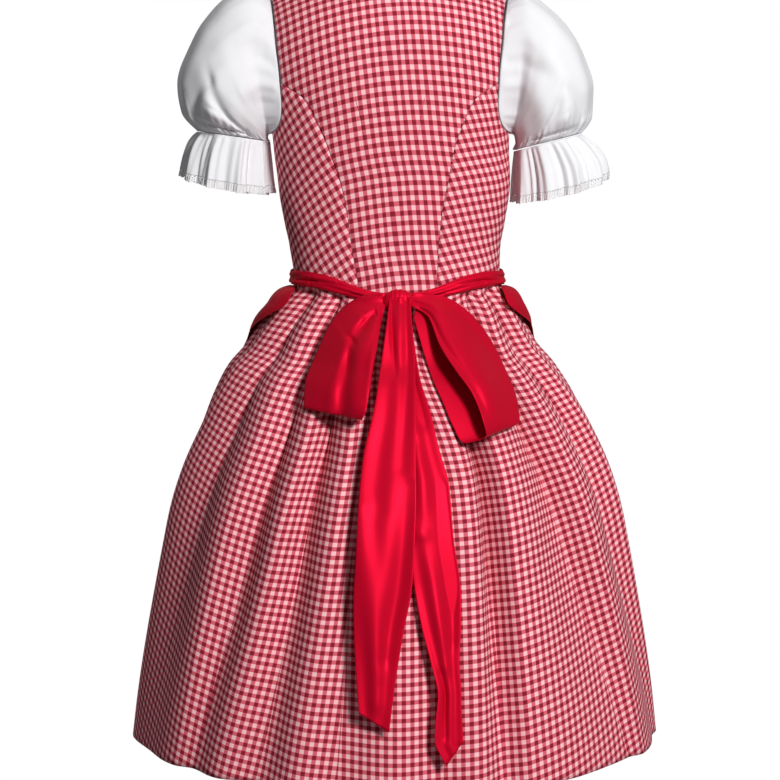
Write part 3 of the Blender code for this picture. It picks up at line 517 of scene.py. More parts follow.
@dataclass(frozen=True)
class GirthMap:
    """Lengths of cloth round the figure, for patterns that follow the cloth."""

    figure: Figure
    angle_step: float = 4.0
    down_step: float = 0.018
    down_count: int = 28

    @functools.cached_property
    def rows(self) -> list[list[float]]:
        """Length round from the centre back at each angle, for each way down."""
        count = round(360.0 / self.angle_step)
        girths = []
        for row in range(self.down_count):
            down = max(self.down_step * row, SEAM)
            lengths = [0.0]
            last = self.figure.torso(0.0, down)
            for number in range(1, count + 1):
                point = self.figure.torso(self.angle_step * number, down)
                lengths.append(lengths[-1] + (point - last).length)
                last = point
            girths.append(lengths)
        return girths

    def length(self, angle: float, down: float) -> float:
        """Length of cloth from the centre back to an angle, at a way down."""
        column = abs(angle) / self.angle_step
        row = clamp(down / self.down_step, 0.0, self.down_count - 1.001)
        left, top = min(int(column), len(self.rows[0]) - 2), int(row)
        upper = mix(self.rows[top][left], self.rows[top][left + 1], column - left)
        lower = mix(self.rows[top + 1][left], self.rows[top + 1][left + 1], column - left)
        return math.copysign(mix(upper, lower, row - top), angle)


class NodeTree:
    """A shader tree with short calls for adding and joining nodes."""

    def __init__(self, tree: bpy.types.NodeTree) -> None:
        """Keeps the tree."""
        self.tree = tree

    def add(self, kind: str, **values: object) -> bpy.types.Node:
        """Adds a node and sets its properties."""
        node = self.tree.nodes.new(kind)
        for key, value in values.items():
            setattr(node, key, value)
        return node

    def join(self, source: bpy.types.NodeSocket, target: bpy.types.NodeSocket) -> None:
        """Links two sockets."""
        self.tree.links.new(source, target)

    def math(self, operation: str, *inputs: object) -> bpy.types.NodeSocket:
        """Adds a Math node whose inputs are sockets or numbers, and returns its result."""
        node = self.add("ShaderNodeMath", operation=operation)
        for socket, value in zip(node.inputs, inputs):
            if isinstance(value, (int, float)):
                socket.default_value = value
            else:
                self.join(value, socket)
        return node.outputs[0]

    def blend(self, factor: bpy.types.NodeSocket, first: object, second: object) -> bpy.types.NodeSocket:
        """Mixes two colours, given as sockets or tuples, and returns the result."""
        node = self.add("ShaderNodeMix", data_type="RGBA")
        self.join(factor, node.inputs["Factor"])
        for socket, value in ((node.inputs[6], first), (node.inputs[7], second)):
            if isinstance(value, tuple):
                socket.default_value = (*value, 1.0)
            else:
                self.join(value, socket)
        return node.outputs[2]

    def cloth_place(self) -> tuple[bpy.types.NodeSocket, list[bpy.types.NodeSocket]]:
        """Adds the place in the flat cloth, whole and split into across and down."""
        place = self.add("ShaderNodeUVMap", uv_map="cloth").outputs[0]
        split = self.add("ShaderNodeSeparateXYZ")
        self.join(place, split.inputs[0])
        return place, [split.outputs[0], split.outputs[1]]

    def clamped(self, value: bpy.types.NodeSocket) -> bpy.types.NodeSocket:
        """Keeps a value between 0 and 1."""
        node = self.add("ShaderNodeClamp")
        self.join(value, node.inputs["Value"])
        return node.outputs[0]

    def bump(
        self,
        shader: bpy.types.Node,
        height: bpy.types.NodeSocket,
        strength: float,
        distance: float,
    ) -> None:
        """Raises a shader's surface by a height.

        Args:
            shader: The shader whose surface is raised.
            height: The height, in shares of the distance.
            strength: How much of the bump shows.
            distance: The height of one whole share, in metres.
        """
        node = self.add("ShaderNodeBump")
        node.inputs["Strength"].default_value = strength
        node.inputs["Distance"].default_value = distance
        self.join(height, node.inputs["Height"])
        self.join(node.outputs[0], shader.inputs["Normal"])


def make_group(
    name: str, inputs: dict[str, float], outputs: dict[str, str]
) -> tuple[NodeTree, bpy.types.NodeTree]:
    """Makes an empty shader node group.

    Args:
        name: The group's name.
        inputs: Default value of each number that goes in.
        outputs: Socket type of each value that comes out.

    Returns:
        The helper for its tree, and the group.
    """
    group = bpy.data.node_groups.new(name, "ShaderNodeTree")
    for label, value in inputs.items():
        socket = group.interface.new_socket(label, in_out="INPUT", socket_type="NodeSocketFloat")
        socket.default_value = value
    for label, kind in outputs.items():
        group.interface.new_socket(label, in_out="OUTPUT", socket_type=kind)
    return NodeTree(group), group


@functools.lru_cache(maxsize=None)
def weave_group() -> bpy.types.NodeTree:
    """Woven threads with slubs: a height for bump and a mask for tone."""
    tree, group = make_group(
        "weave",
        {"Thread": 0.0007, "Slub": 260.0},
        {"Height": "NodeSocketFloat", "Tone": "NodeSocketFloat"},
    )
    given = tree.add("NodeGroupInput")
    result = tree.add("NodeGroupOutput")
    place, axes = tree.cloth_place()
    waves = []
    for axis in axes:
        turns = tree.math("DIVIDE", axis, given.outputs["Thread"])
        waves.append(tree.math("SINE", tree.math("MULTIPLY", turns, math.pi)))
    crossing = tree.math("MULTIPLY", waves[0], waves[1])
    slubs = tree.add("ShaderNodeTexNoise")
    tree.join(place, slubs.inputs["Vector"])
    tree.join(given.outputs["Slub"], slubs.inputs["Scale"])
    height = tree.math("ADD", tree.math("MULTIPLY", crossing, 0.4), slubs.outputs["Fac"])
    tree.join(height, result.inputs["Height"])
    tree.join(slubs.outputs["Fac"], result.inputs["Tone"])
    return group


@functools.lru_cache(maxsize=None)
def check_group() -> bpy.types.NodeTree:
    """Gingham check: the share of coloured threads, 0 in the light squares and 1 in the dark."""
    tree, group = make_group(
        "gingham_check",
        {"Across": 0.0106, "Down": 0.0106, "Coloured": 0.5},
        {"Threads": "NodeSocketFloat"},
    )
    given = tree.add("NodeGroupInput")
    result = tree.add("NodeGroupOutput")
    stripes = []
    for axis, pitch in zip(tree.cloth_place()[1], ("Across", "Down")):
        turns = tree.math("DIVIDE", axis, given.outputs[pitch])
        swing = tree.math("ABSOLUTE", tree.math("SUBTRACT", tree.math("FRACT", turns), 0.5))
        edge = tree.math("SUBTRACT", swing, tree.math("MULTIPLY", given.outputs["Coloured"], 0.5))
        stripes.append(tree.clamped(tree.math("ADD", tree.math("MULTIPLY", edge, -16.0), 0.5)))
    total = tree.math("MULTIPLY", tree.math("ADD", stripes[0], stripes[1]), 0.5)
    tree.join(total, result.inputs["Threads"])
    return group


@dataclass(frozen=True)
class Finish:
    """The look of one kind of cloth or button."""

    name: str
    colour: tuple[float, float, float]
    roughness: float
    sheen: float = 0.0
    specular: float = 0.5
    bump: float = 0.0

    def start(self, piece: str) -> tuple[bpy.types.Material, NodeTree, bpy.types.Node]:
        """Makes the material with its shader's plain values.

        Args:
            piece: Name of the piece that wears it.

        Returns:
            The material, the helper for its tree, and its shader.
        """
        material = bpy.data.materials.new(f"{self.name}_{piece}")
        material.use_nodes = True
        tree = NodeTree(material.node_tree)
        shader = material.node_tree.nodes["Principled BSDF"]
        shader.inputs["Base Color"].default_value = (*self.colour, 1.0)
        shader.inputs["Roughness"].default_value = self.roughness
        shader.inputs["Specular IOR Level"].default_value = self.specular
        shader.inputs["Sheen Weight"].default_value = self.sheen
        return material, tree, shader

    def weave(self, tree: NodeTree, shader: bpy.types.Node, distance: float = 0.0003) -> bpy.types.Node:
        """Adds the weave's bump and returns the weave's node."""
        weave = tree.add("ShaderNodeGroup", node_tree=weave_group())
        tree.bump(shader, weave.outputs["Height"], self.bump, distance)
        return weave

    def dress(self, piece: str) -> bpy.types.Material:
        """Makes the finished material for a piece."""
        material, tree, shader = self.start(piece)
        if self.bump:
            self.weave(tree, shader)
        return material


@dataclass(frozen=True)
class GinghamFinish(Finish):
    """Cotton gingham: light, mixed and dark squares."""

    light: tuple[float, float, float] = (0.93, 0.56, 0.59)
    mixed: tuple[float, float, float] = (0.66, 0.115, 0.16)
    dark: tuple[float, float, float] = (0.21, 0.004, 0.016)
    unevenness: float = 0.12

    def dress(self, piece: str) -> bpy.types.Material:
        """Makes the checked material for a piece."""
        material, tree, shader = self.start(piece)
        weave = self.weave(tree, shader)
        check = tree.add("ShaderNodeGroup", node_tree=check_group())
        doubled = tree.math("MULTIPLY", check.outputs["Threads"], 2.0)
        squares = tree.blend(tree.clamped(doubled), self.light, self.mixed)
        squares = tree.blend(tree.clamped(tree.math("SUBTRACT", doubled, 1.0)), squares, self.dark)
        uneven = tree.math("MULTIPLY", weave.outputs["Tone"], self.unevenness)
        tree.join(tree.blend(uneven, squares, self.mixed), shader.inputs["Base Color"])
        return material


@dataclass(frozen=True)
class SatinFinish(Finish):
    """Red satin, whose long floats give coloured gleams."""

    metallic: float = 0.25
    tint: tuple[float, float, float] = (1.0, 0.05, 0.11)

    def dress(self, piece: str) -> bpy.types.Material:
        """Makes the satin for a piece."""
        material, tree, shader = self.start(piece)
        shader.inputs["Metallic"].default_value = self.metallic
        shader.inputs["Specular Tint"].default_value = (*self.tint, 1.0)
        self.weave(tree, shader)
        return material


@dataclass(frozen=True)
class LaceFinish(Finish):
    """Cotton lace: threads round rows of small holes."""

    hole_pitch: float = 0.0040
    hole_edge: float = 6.0
    thread_share: float = 3.4
    thread_height: float = 0.0006

    def dress(self, piece: str) -> bpy.types.Material:
        """Makes the lace for a piece."""
        material, tree, shader = self.start(piece)
        waves = []
        for axis in tree.cloth_place()[1]:
            turns = tree.math("DIVIDE", axis, self.hole_pitch)
            waves.append(tree.math("SINE", tree.math("MULTIPLY", turns, 2.0 * math.pi)))
        holes = tree.math("MULTIPLY", tree.math("MULTIPLY", waves[0], waves[1]), self.hole_edge)
        tree.join(tree.clamped(tree.math("SUBTRACT", self.thread_share, holes)), shader.inputs["Alpha"])
        tree.bump(shader, waves[0], self.bump, self.thread_height)
        return material


GINGHAM = GinghamFinish("gingham", (0.6, 0.19, 0.22), 0.9, 0.0, 0.2, 0.35)
COTTON = Finish("cotton", (0.76, 0.765, 0.79), 0.9, 0.0, 0.2, 0.30)
LACE = LaceFinish("lace", (0.88, 0.88, 0.90), 0.85, 0.0, 0.25, 0.5)
SATIN = SatinFinish("satin", (0.58, 0.003, 0.024), 0.46, 0.0, 0.4, 0.06)
HORN = Finish("button", (0.72, 0.66, 0.55), 0.28, 0.0, 0.5)


def put(name: str, data: bpy.types.ID) -> bpy.types.Object:
    """Puts a mesh, light or camera into the scene."""
    item = bpy.data.objects.new(name, data)
    bpy.context.scene.collection.objects.link(item)
    return item


def mesh_of(name: str, shape: bmesh.types.BMesh) -> bpy.types.Mesh:
    """Turns a modelled shape into a mesh."""
    data = bpy.data.meshes.new(name)
    shape.to_mesh(data)
    shape.free()
    return data


def finish_piece(
    name: str, mesh: bmesh.types.BMesh, finish: Finish, node: str
) -> bpy.types.Object:
    """Puts a finished mesh into the scene in place of its CAD solid.

    Args:
        name: The piece's name.
        mesh: Its shape.
        finish: Its look.
        node: The CAD node that it stands for.

    Returns:
        The piece.
    """
    data = mesh_of(name, mesh)
    data.shade_smooth()
    data.materials.append(finish.dress(name))
    piece = put(name, data)
    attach(piece, BODY)
    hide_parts(node)
    LOG.info("%s: %d faces", name, len(data.polygons))
    return piece


@dataclass(frozen=True)
class Sheet:
    """A cloth wall laid by a function of its shares across and down."""

    node: str
    columns: int
    rows: int
    place: Place
    pattern: Pattern
    finish: Finish
    wall: float
    cut: Cut
    closed: bool = False

    def make(self) -> bpy.types.Object:
        """Lays the sheet and gives it its pattern and its wall."""
        cloth = bmesh.new()
        bmesh.ops.create_grid(cloth, x_segments=self.columns, y_segments=self.rows, size=0.5)
        shares = {}
        for vertex in cloth.verts:
            across = round((0.5 - vertex.co.x) * self.columns) / self.columns
            down = round((0.5 - vertex.co.y) * self.rows) / self.rows
            shares[vertex] = (across, down)
        layer = cloth.loops.layers.uv.new("cloth")
        patterns = {vertex: self.pattern(*share) for vertex, share in shares.items()}
        for face in cloth.faces:
            for loop in face.loops:
                loop[layer].uv = patterns[loop.vert]
        for vertex, share in shares.items():
            vertex.co = self.place(*share)
        if self.closed:
            bmesh.ops.remove_doubles(cloth, verts=cloth.verts, dist=0.00001)
        piece = finish_piece(f"{self.node}_cloth", cloth, self.finish, self.node)
        thicken = piece.modifiers.new("wall", "SOLIDIFY")
        thicken.thickness = self.wall
        thicken.offset = 1.0
        options = {"area": self.cut.area} if self.cut.area else {}
        if self.cut.rests_on:
            options["rests_on"] = list(self.cut.rests_on)
        return piece


def coons(
    start: Edge, end: Edge, top: Edge, bottom: Edge, across: float, down: float
) -> tuple[float, float]:
    """Place inside four edges, by its shares of the way across and down them."""
    column, row = round(across * (len(top) - 1)), round(down * (len(start) - 1))
    place = []
    for part in (0, 1):
        sides = mix(start[row][part], end[row][part], across)
        ends = mix(top[column][part], bottom[column][part], down)
        corners = mix(
            mix(start[0][part], end[0][part], across),
            mix(start[-1][part], end[-1][part], across),
            down,
        )
        place.append(sides + ends - corners)
    return place[0], place[1]


def straight_edge(start: tuple[float, float], end: tuple[float, float], steps: int) -> Edge:
    """Angles and ways down along an even line between two places."""
    return list(zip(even_steps(start[0], end[0], steps), even_steps(start[1], end[1], steps)))


def mirrored(edge: Edge) -> Edge:
    """The same edge on the wearer's right."""
    return [(-angle, down) for angle, down in edge]


def shifted(edge: Edge, angle_gap: float) -> Edge:
    """An edge drawn back from its seam."""
    return [(angle + angle_gap, down) for angle, down in edge]


@dataclass(frozen=True)
class FittedPiece:
    """A bodice or blouse piece between its four edges, with the grain of its cloth."""

    node: str
    edges: tuple[Edge, Edge, Edge, Edge]
    side: int
    grain: float
    cut: Cut
    stretch: tuple[float, float] = (1.0, 1.0)
    out: float = 0.0
    seam_dip: float = 0.0009
    seam_reach: float = 0.035
    unevenness: float = 0.0008


@dataclass(frozen=True)
class UpperBody:
    """The fitted upper half: the bodice's seven panels and the blouse's body."""

    figure: Figure
    girth: GirthMap
    fineness: int = 6
    arm_rows: int = 5
    seam_rows: int = 9
    side_columns: int = 5
    shoulder_columns: int = 3
    neck_columns: int = 4
    junction: float = 72.0
    seam_radius: float = 0.12
    lap: float = 0.010
    lap_radius: float = 0.16
    blouse_inside: float = 0.0058
    blouse_hem: float = -0.300
    back_seam: tuple[tuple[float, float], ...] = (
        (0.137, -0.148), (0.1075, -0.168), (0.0915, -0.199), (0.079, -0.231), (0.0695, -0.266),
        (0.0615, -0.301), (0.0565, -0.3375), (0.0525, -0.374), (0.0485, -0.411),
    )
    front_seam: tuple[tuple[float, float], ...] = (
        (0.128, -0.150), (0.104, -0.190), (0.088, -0.240), (0.078, -0.290), (0.065, -0.345),
        (0.056, -0.4035),
    )
    front_neckline: tuple[tuple[float, float], ...] = (
        (0.076, 0.0), (0.073, -0.050), (0.071, -0.090), (0.067, -0.130), (0.055, -0.158),
        (0.030, -0.170), (0.0, -0.173),
    )
    back_neckline: tuple[tuple[float, float], ...] = (
        (0.070, 0.0), (0.060, -0.010), (0.035, -0.018), (0.0, -0.020),
    )
    blouse_necklines: tuple[tuple[tuple[float, float], ...], ...] = (
        ((0.074, 0.0), (0.062, -0.016), (0.036, -0.024), (0.0, -0.026)),
        ((0.079, 0.0), (0.074, -0.060), (0.062, -0.110), (0.040, -0.134), (0.0, -0.140)),
    )

    @property
    def seam_angle(self) -> float:
        """Half a seam's gap as an angle round the body."""
        return math.degrees(SEAM / 2 / self.seam_radius)

    def lay(self, piece: FittedPiece, finish: Finish, wall: float) -> None:
        """Makes one fitted piece."""
        start, end, top, bottom = piece.edges
        if piece.side < 0:
            start, end = mirrored(end), mirrored(start)
            top, bottom = mirrored(top[::-1]), mirrored(bottom[::-1])
        columns, rows = len(top) - 1, len(start) - 1
        turn = math.radians(piece.grain)

        def place(across: float, down: float) -> Vector:
            """Point of the piece, dipped a little at its seams."""
            angle, fall = coons(start, end, top, bottom, across, down)
            edge = min(across, 1.0 - across)
            dip = piece.seam_dip * math.exp(-((edge / piece.seam_reach) ** 2))
            point = self.figure.torso(angle, fall, piece.out - dip)
            outward = Vector((point.x, point.y, 0.0)).normalized()
            return point + outward * (ripple(point, 0.045, 3.0) - 1.0) * piece.unevenness * 0.5

        def pattern(across: float, down: float) -> tuple[float, float]:
            """Place in the flat cloth."""
            angle, fall = coons(start, end, top, bottom, across, down)
            along, up = self.girth.length(angle, fall), -fall
            return (
                (along * math.cos(turn) - up * math.sin(turn)) / piece.stretch[0],
                (along * math.sin(turn) + up * math.cos(turn)) / piece.stretch[1],
            )

        Sheet(piece.node, columns, rows, place, pattern, finish, wall, piece.cut).make()

    def shoulders(self, neckline: Sequence[tuple[float, float]], front: bool) -> Edge:
        """Top edge from one shoulder tip over the neckline to the other."""
        figure = self.figure
        tip = figure.torso_place(figure.shoulder_half_width, -figure.shoulder_drop, front)
        neck = figure.torso_place(*neckline[0], front)
        half = straight_edge(tip, neck, self.shoulder_columns * self.fineness)
        half += figure.drawn_edge(neckline, self.neck_columns * self.fineness, front)[1:]
        if front:
            return half + [(360.0 - angle, down) for angle, down in half[-2::-1]]
        return mirrored(half) + half[-2::-1]

    def make_bodice(self) -> None:
        """Makes the seven panels of the bodice."""
        figure, fine, gap = self.figure, self.fineness, self.seam_angle
        arm_rows, seam_rows, side = self.arm_rows * fine, self.seam_rows * fine, self.side_columns * fine
        back_arm = figure.armhole_edge(180.0, self.junction, arm_rows, False)
        front_arm = figure.armhole_edge(180.0, self.junction, arm_rows, True)
        back_seam = figure.drawn_edge(self.back_seam, seam_rows, False)
        front_seam = figure.drawn_edge(self.front_seam, seam_rows, True)
        back_seam[0], front_seam[0] = back_arm[-1], front_arm[-1]
        back_seam[-1] = figure.waist_edge(back_seam[-1][0], 90.0, 1)[0]
        front_seam[-1] = figure.waist_edge(front_seam[-1][0], 90.0, 1)[0]

        edge = shifted(back_arm + back_seam[1:], -gap)
        top = self.shoulders(self.back_neckline, False)
        bottom = figure.waist_edge(-edge[-1][0], edge[-1][0], len(top) - 1)
        top[0], top[-1] = mirrored(edge)[0], edge[0]
        cut = Cut(0.33, 0.44, Hold.STRETCHED, area=0.092)
        self.lay(
            FittedPiece("bodice_back", (mirrored(edge), edge, top, bottom), 1, 5.5, cut, (1.0, 1.17)),
            GINGHAM,
            COTTON_WALL,
        )

        underarm = figure.torso_place(*figure.armhole(0.0, False), False)[1]
        waist = figure.waist_edge(90.0, 90.0, 1)[0][1]
        halves = ((Side.LEFT, 25.0, (0.86, 1.17)), (Side.RIGHT, 21.0, (1.0, 1.0)))
        for half, back_grain, stretch in halves:
            label, sign = half.label, half.value
            start = shifted(back_seam, gap)
            end = straight_edge((90.0 - gap, underarm), (90.0 - gap, waist), seam_rows)
            top = figure.armhole_edge(self.junction, 0.0, side, False)
            top[0], top[-1] = start[0], end[0]
            cut = Cut(0.16, 0.26, Hold.STRETCHED, area=0.029)
            edges = self.closed(start, end, top)
            piece = FittedPiece(f"bodice_side_back_{label}", edges, sign, back_grain, cut, stretch)
            self.lay(piece, GINGHAM, COTTON_WALL)

            start = straight_edge((90.0 + gap, underarm), (90.0 + gap, waist), seam_rows)
            end = shifted(front_seam, -gap)
            top = figure.armhole_edge(0.0, self.junction, side, True)
            top[0], top[-1] = start[0], end[0]
            edges = self.closed(start, end, top)
            piece = FittedPiece(f"bodice_side_front_{label}", edges, sign, -20.0 * sign, cut)
            self.lay(piece, GINGHAM, COTTON_WALL)

            start = shifted(front_arm + front_seam[1:], gap)
            lap = sign * math.degrees(self.lap / self.lap_radius) + gap
            centre = figure.drawn_edge(self.front_neckline, arm_rows + 2 * fine, True)
            centre[-1] = (180.0 - lap, centre[-1][1])
            foot = figure.waist_edge(180.0 - lap, 180.0, 1)[0]
            end = centre + straight_edge(centre[-1], foot, seam_rows - 2 * fine)[1:]
            edges = self.closed(start, end, straight_edge(start[0], end[0], 4 * fine))
            cut = Cut(0.13, 0.44, Hold.STRETCHED, area=0.034)
            piece = FittedPiece(f"bodice_front_{label}", edges, sign, 0.0, cut)
            self.lay(piece, GINGHAM, COTTON_WALL)

    def closed(self, start: Edge, end: Edge, top: Edge) -> tuple[Edge, Edge, Edge, Edge]:
        """Closes a panel's three edges with the waist seam."""
        return start, end, top, self.figure.waist_edge(start[-1][0], end[-1][0], len(top) - 1)

    def make_blouse(self) -> None:
        """Makes the cropped body of the blouse, inside the bodice."""
        figure, fine, gap = self.figure, self.fineness, self.seam_angle
        for neckline, front in zip(self.blouse_necklines, (False, True)):
            arm = figure.armhole_edge(180.0, 0.0, 6 * fine, front)
            side = 90.0 + (gap if front else -gap)
            hem = figure.waist_down(side, self.blouse_hem)
            edge = arm[:-1] + straight_edge((side, arm[-1][1]), (side, hem), 3 * fine)
            other = [(360.0 - angle if front else -angle, down) for angle, down in edge]
            start, end = (edge, other) if front else (other, edge)
            top = self.shoulders(neckline, front)
            top[0], top[-1] = start[0], end[0]
            bottom = straight_edge(start[-1], end[-1], len(top) - 1)
            cut = Cut(0.46, 0.32, Hold.STRETCHED, area=0.088)
            piece = FittedPiece(
                f"blouse_{'front' if front else 'back'}",
                (start, end, top, bottom),
                1,
                0.0,
                cut,
                out=-self.blouse_inside,
                seam_dip=0.0,
            )
            self.lay(piece, COTTON, COTTON_WALL)


@dataclass(frozen=True)
class Buttons:
    """The row of buttons down the lapped front edge."""

    figure: Figure
    count: int = 6
    top: float = -0.190
    pitch: float = 0.034
    radius: float = 0.006
    thickness: float = 0.0028
    rim: float = 0.0012
    taper: float = 0.94
    rim_step: float = 0.0006
    hollow: float = 0.0007
    rounding: float = 0.0003
    segments: int = 40
    cad_wall: float = 0.0012

    def make(self) -> None:
        """Makes each button with a rounded rim and a hollowed face."""
        for number in range(self.count):
            _, down = self.figure.torso_place(0.0, self.top - self.pitch * number, True)
            seat = self.figure.torso(180.0, down)
            below = self.figure.torso(180.0, down + 0.004)
            facing = (below - seat).cross(Vector((1.0, 0.0, 0.0))).normalized()
            if facing.y > 0.0:
                facing = -facing
            button = bmesh.new()
            bmesh.ops.create_cone(
                button,
                cap_ends=True,
                segments=self.segments,
                radius1=self.radius,
                radius2=self.radius * self.taper,
                depth=self.thickness,
            )
            caps = [face for face in button.faces if len(face.verts) == self.segments]
            front = [face for face in caps if face.normal.z > 0.5]
            bmesh.ops.inset_region(button, faces=front, thickness=self.rim, depth=0.0)
            bmesh.ops.inset_region(button, faces=front, thickness=self.rim_step, depth=-self.hollow)
            edges = [edge for edge in button.edges if edge.calc_face_angle(0.0) > 0.5]
            bmesh.ops.bevel(
                button,
                geom=edges,
                offset=self.rounding,
                segments=3,
                profile=0.5,
                affect="EDGES",
                material=-1,
            )
            turn = facing.to_track_quat("Z", "Y").to_matrix()
            bmesh.ops.rotate(button, verts=button.verts, matrix=turn)
            lift = self.cad_wall + SEAM + self.thickness / 2
            bmesh.ops.translate(button, verts=button.verts, vec=seat + facing * lift)
            name = f"button_{number + 1}"
            finish_piece(f"{name}_horn", button, HORN, name)


class SkirtPanel(NamedTuple):
    """A skirt width, between the valleys that follow two folds."""

    node: str
    first_fold: int
    last_fold: int


@dataclass(frozen=True)
class Skirt:
    """The four pleated widths of the skirt, with tucks where the cloth folds under."""

    form: SkirtForm
    steps: int = 11
    rows: int = 110
    crowding: float = 1.45
    sharp_until: float = 0.80
    groove_reach: float = 0.10
    groove_depth: float = 0.0075
    weft_rise: float = 0.9
    seam: float = 0.0001
    panels: tuple[SkirtPanel, ...] = (
        SkirtPanel("skirt_front_right", -1, 4),
        SkirtPanel("skirt_back_right", 4, 8),
        SkirtPanel("skirt_back_left", 8, 13),
        SkirtPanel("skirt_front_left", 13, 17),
    )

    @functools.lru_cache(maxsize=None)
    def lines(self, fall: float) -> list[tuple[float, float]]:
        """Angles and depths of the ridges and valleys at a level, in order round the body."""
        lines = []
        opened = clamp(0.4 + fall / self.form.levels[0])
        for fold in self.form.folds:
            depth = curve(self.form.levels, fold[6:9], fall) * opened
            lines.append((curve(self.form.levels, fold[0:3], fall), 0.0))
            lines.append((curve(self.form.levels, fold[3:6], fall), depth))
        return lines

    def line(self, number: int, fall: float) -> tuple[float, float]:
        """Angle and depth of a numbered ridge or valley, counted on round the skirt."""
        lines = self.lines(fall)
        angle, depth = lines[number % len(lines)]
        return angle + 360.0 * (number // len(lines)), depth

    def share_of(self, step: int) -> float:
        """Share of the way from a ridge to a valley at a step, closer set by the valley."""
        return 1.0 - (1.0 - step / self.steps) ** self.crowding

    def point(self, number: int, step: int, fall: float) -> Vector:
        """Point between a numbered ridge or valley and the next.

        Args:
            number: The line's number; even ones are ridges.
            step: Step from that line to the next.
            fall: Share of the fall from waist to hem.

        Returns:
            The point.
        """
        (start, start_depth), (end, end_depth) = self.line(number, fall), self.line(number + 1, fall)
        ridge_first = number % 2 == 0
        share = self.share_of(step) if ridge_first else self.share_of(self.steps - step)
        angle = mix(start, end, share) if ridge_first else mix(end, start, share)
        depth = max(start_depth, end_depth)
        soft = 0.5 - 0.5 * math.cos(math.pi * share)
        sharpness = 1.0 - ease(fall, 0.20, self.sharp_until)
        drop = depth * mix(soft, share ** 1.7, 0.85 * sharpness)
        groove = math.exp(-(((1.0 - share) / self.groove_reach) ** 2))
        drop += self.groove_depth * groove * (1.0 - ease(fall, 0.08, 0.45)) * clamp(fall / 0.02)
        plain = self.form.place(angle, fall)
        flow = Vector((plain.x, plain.y, plain.z * 0.3))
        drop += 0.0035 * (0.5 + 0.5 * ripple(flow, 0.075, 5.0)) * ease(fall, 0.02, 0.25)
        return self.form.place(angle, fall, -drop)

    def make(self) -> None:
        """Makes the widths, each with its pattern laid along its ridges."""
        hem_lengths = self.hem_lengths()
        for panel in self.panels:
            self.make_panel(panel, hem_lengths)

    def hem_lengths(self) -> list[float]:
        """Length of hem from the first ridge to each line, counted once round."""
        total, lengths = 0.0, [0.0]
        for number in range(2 * len(self.form.folds)):
            points = [self.point(number, step, 1.0) for step in range(self.steps + 1)]
            total += sum((b - a).length for a, b in zip(points, points[1:]))
            lengths.append(total)
        return lengths

    def make_panel(self, panel: SkirtPanel, hem_lengths: list[float]) -> None:
        """Makes one width."""
        first = 2 * panel.first_fold + 1
        count = 2 * (panel.last_fold - panel.first_fold)
        columns = count * self.steps
        gap = self.seam / 2
        points: dict[tuple[int, int], Vector] = {}
        for row in range(self.rows + 1):
            fall = (row / self.rows) ** 1.25
            for column in range(columns + 1):
                number, step = first + column // self.steps, column % self.steps
                points[column, row] = self.point(number, step, fall)
            for column, toward in ((0, 1), (columns, columns - 1)):
                inward = points[toward, row] - points[column, row]
                points[column, row] = points[column, row] + inward.normalized() * gap
        around = hem_lengths[-1]
        girth: dict[tuple[int, int], float] = {}
        for row in range(self.rows + 1):
            for line in range(1, count, 2):
                number = first + line
                base = hem_lengths[number % (len(hem_lengths) - 1)]
                base += around * (number // (len(hem_lengths) - 1))
                middle = line * self.steps
                girth[middle, row] = base
                for direction in (-1, 1):
                    length = base
                    for step in range(1, self.steps):
                        here, last = middle + direction * step, middle + direction * (step - 1)
                        length += direction * (points[here, row] - points[last, row]).length
                        girth[here, row] = length
            for line in range(0, count + 1, 2):
                middle = line * self.steps
                sides = [
                    girth[column, row] for column in (middle - 1, middle + 1) if 0 < column < columns
                ]
                girth[middle, row] = sum(sides) / len(sides)
        rise: dict[tuple[int, int], float] = {}
        for column in range(columns + 1):
            total = 0.0
            rise[column, self.rows] = 0.0
            for row in range(self.rows - 1, -1, -1):
                total += (points[column, row] - points[column, row + 1]).length
                rise[column, row] = total
        middle = 0.0 if "back" in panel.node else 180.0
        for (column, row), point in points.items():
            angle = math.degrees(math.atan2(point.x, point.y)) - middle
            around = math.radians(math.remainder(angle, 360.0)) * math.hypot(point.x, point.y)
            rise[column, row] -= 0.5 * self.weft_rise * around ** 2

        def place(across: float, down: float) -> Vector:
            """Point laid beforehand."""
            return points[round(across * columns), round(down * self.rows)]

        def pattern(across: float, down: float) -> tuple[float, float]:
            """Place in the flat cloth."""
            key = (round(across * columns), round(down * self.rows))
            return girth[key], rise[key]

        width = girth[columns, self.rows] - girth[0, self.rows]
        cut = Cut(round(width, 3) + 0.02, 0.62, Hold.GATHERED)
        Sheet(panel.node, columns, self.rows, place, pattern, GINGHAM, COTTON_WALL, cut).make()


class ApronEdge(NamedTuple):
    """Where the apron's side edges lie and stand out, at a share of the way down it."""

    share: float
    left: float
    right: float
    left_out: float
    right_out: float


APRON_EDGES = table(
    ApronEdge,
    (0.000, 74.0, 75.0, 0.0035, 0.0035),
    (0.012, 63.0, 65.0, 0.0090, 0.0090),
    (0.035, 57.0, 60.0, 0.0130, 0.0110),
    (0.065, 68.0, 72.0, 0.0100, 0.0060),
    (0.095, 84.0, 92.0, 0.0060, 0.0050),
    (0.130, 100.0, 104.0, 0.0050, 0.0050),
    (0.200, 110.0, 110.0, 0.0050, 0.0050),
    (0.400, 112.0, 111.0, 0.0060, 0.0060),
    (1.000, 114.0, 113.0, 0.0060, 0.0060),
)


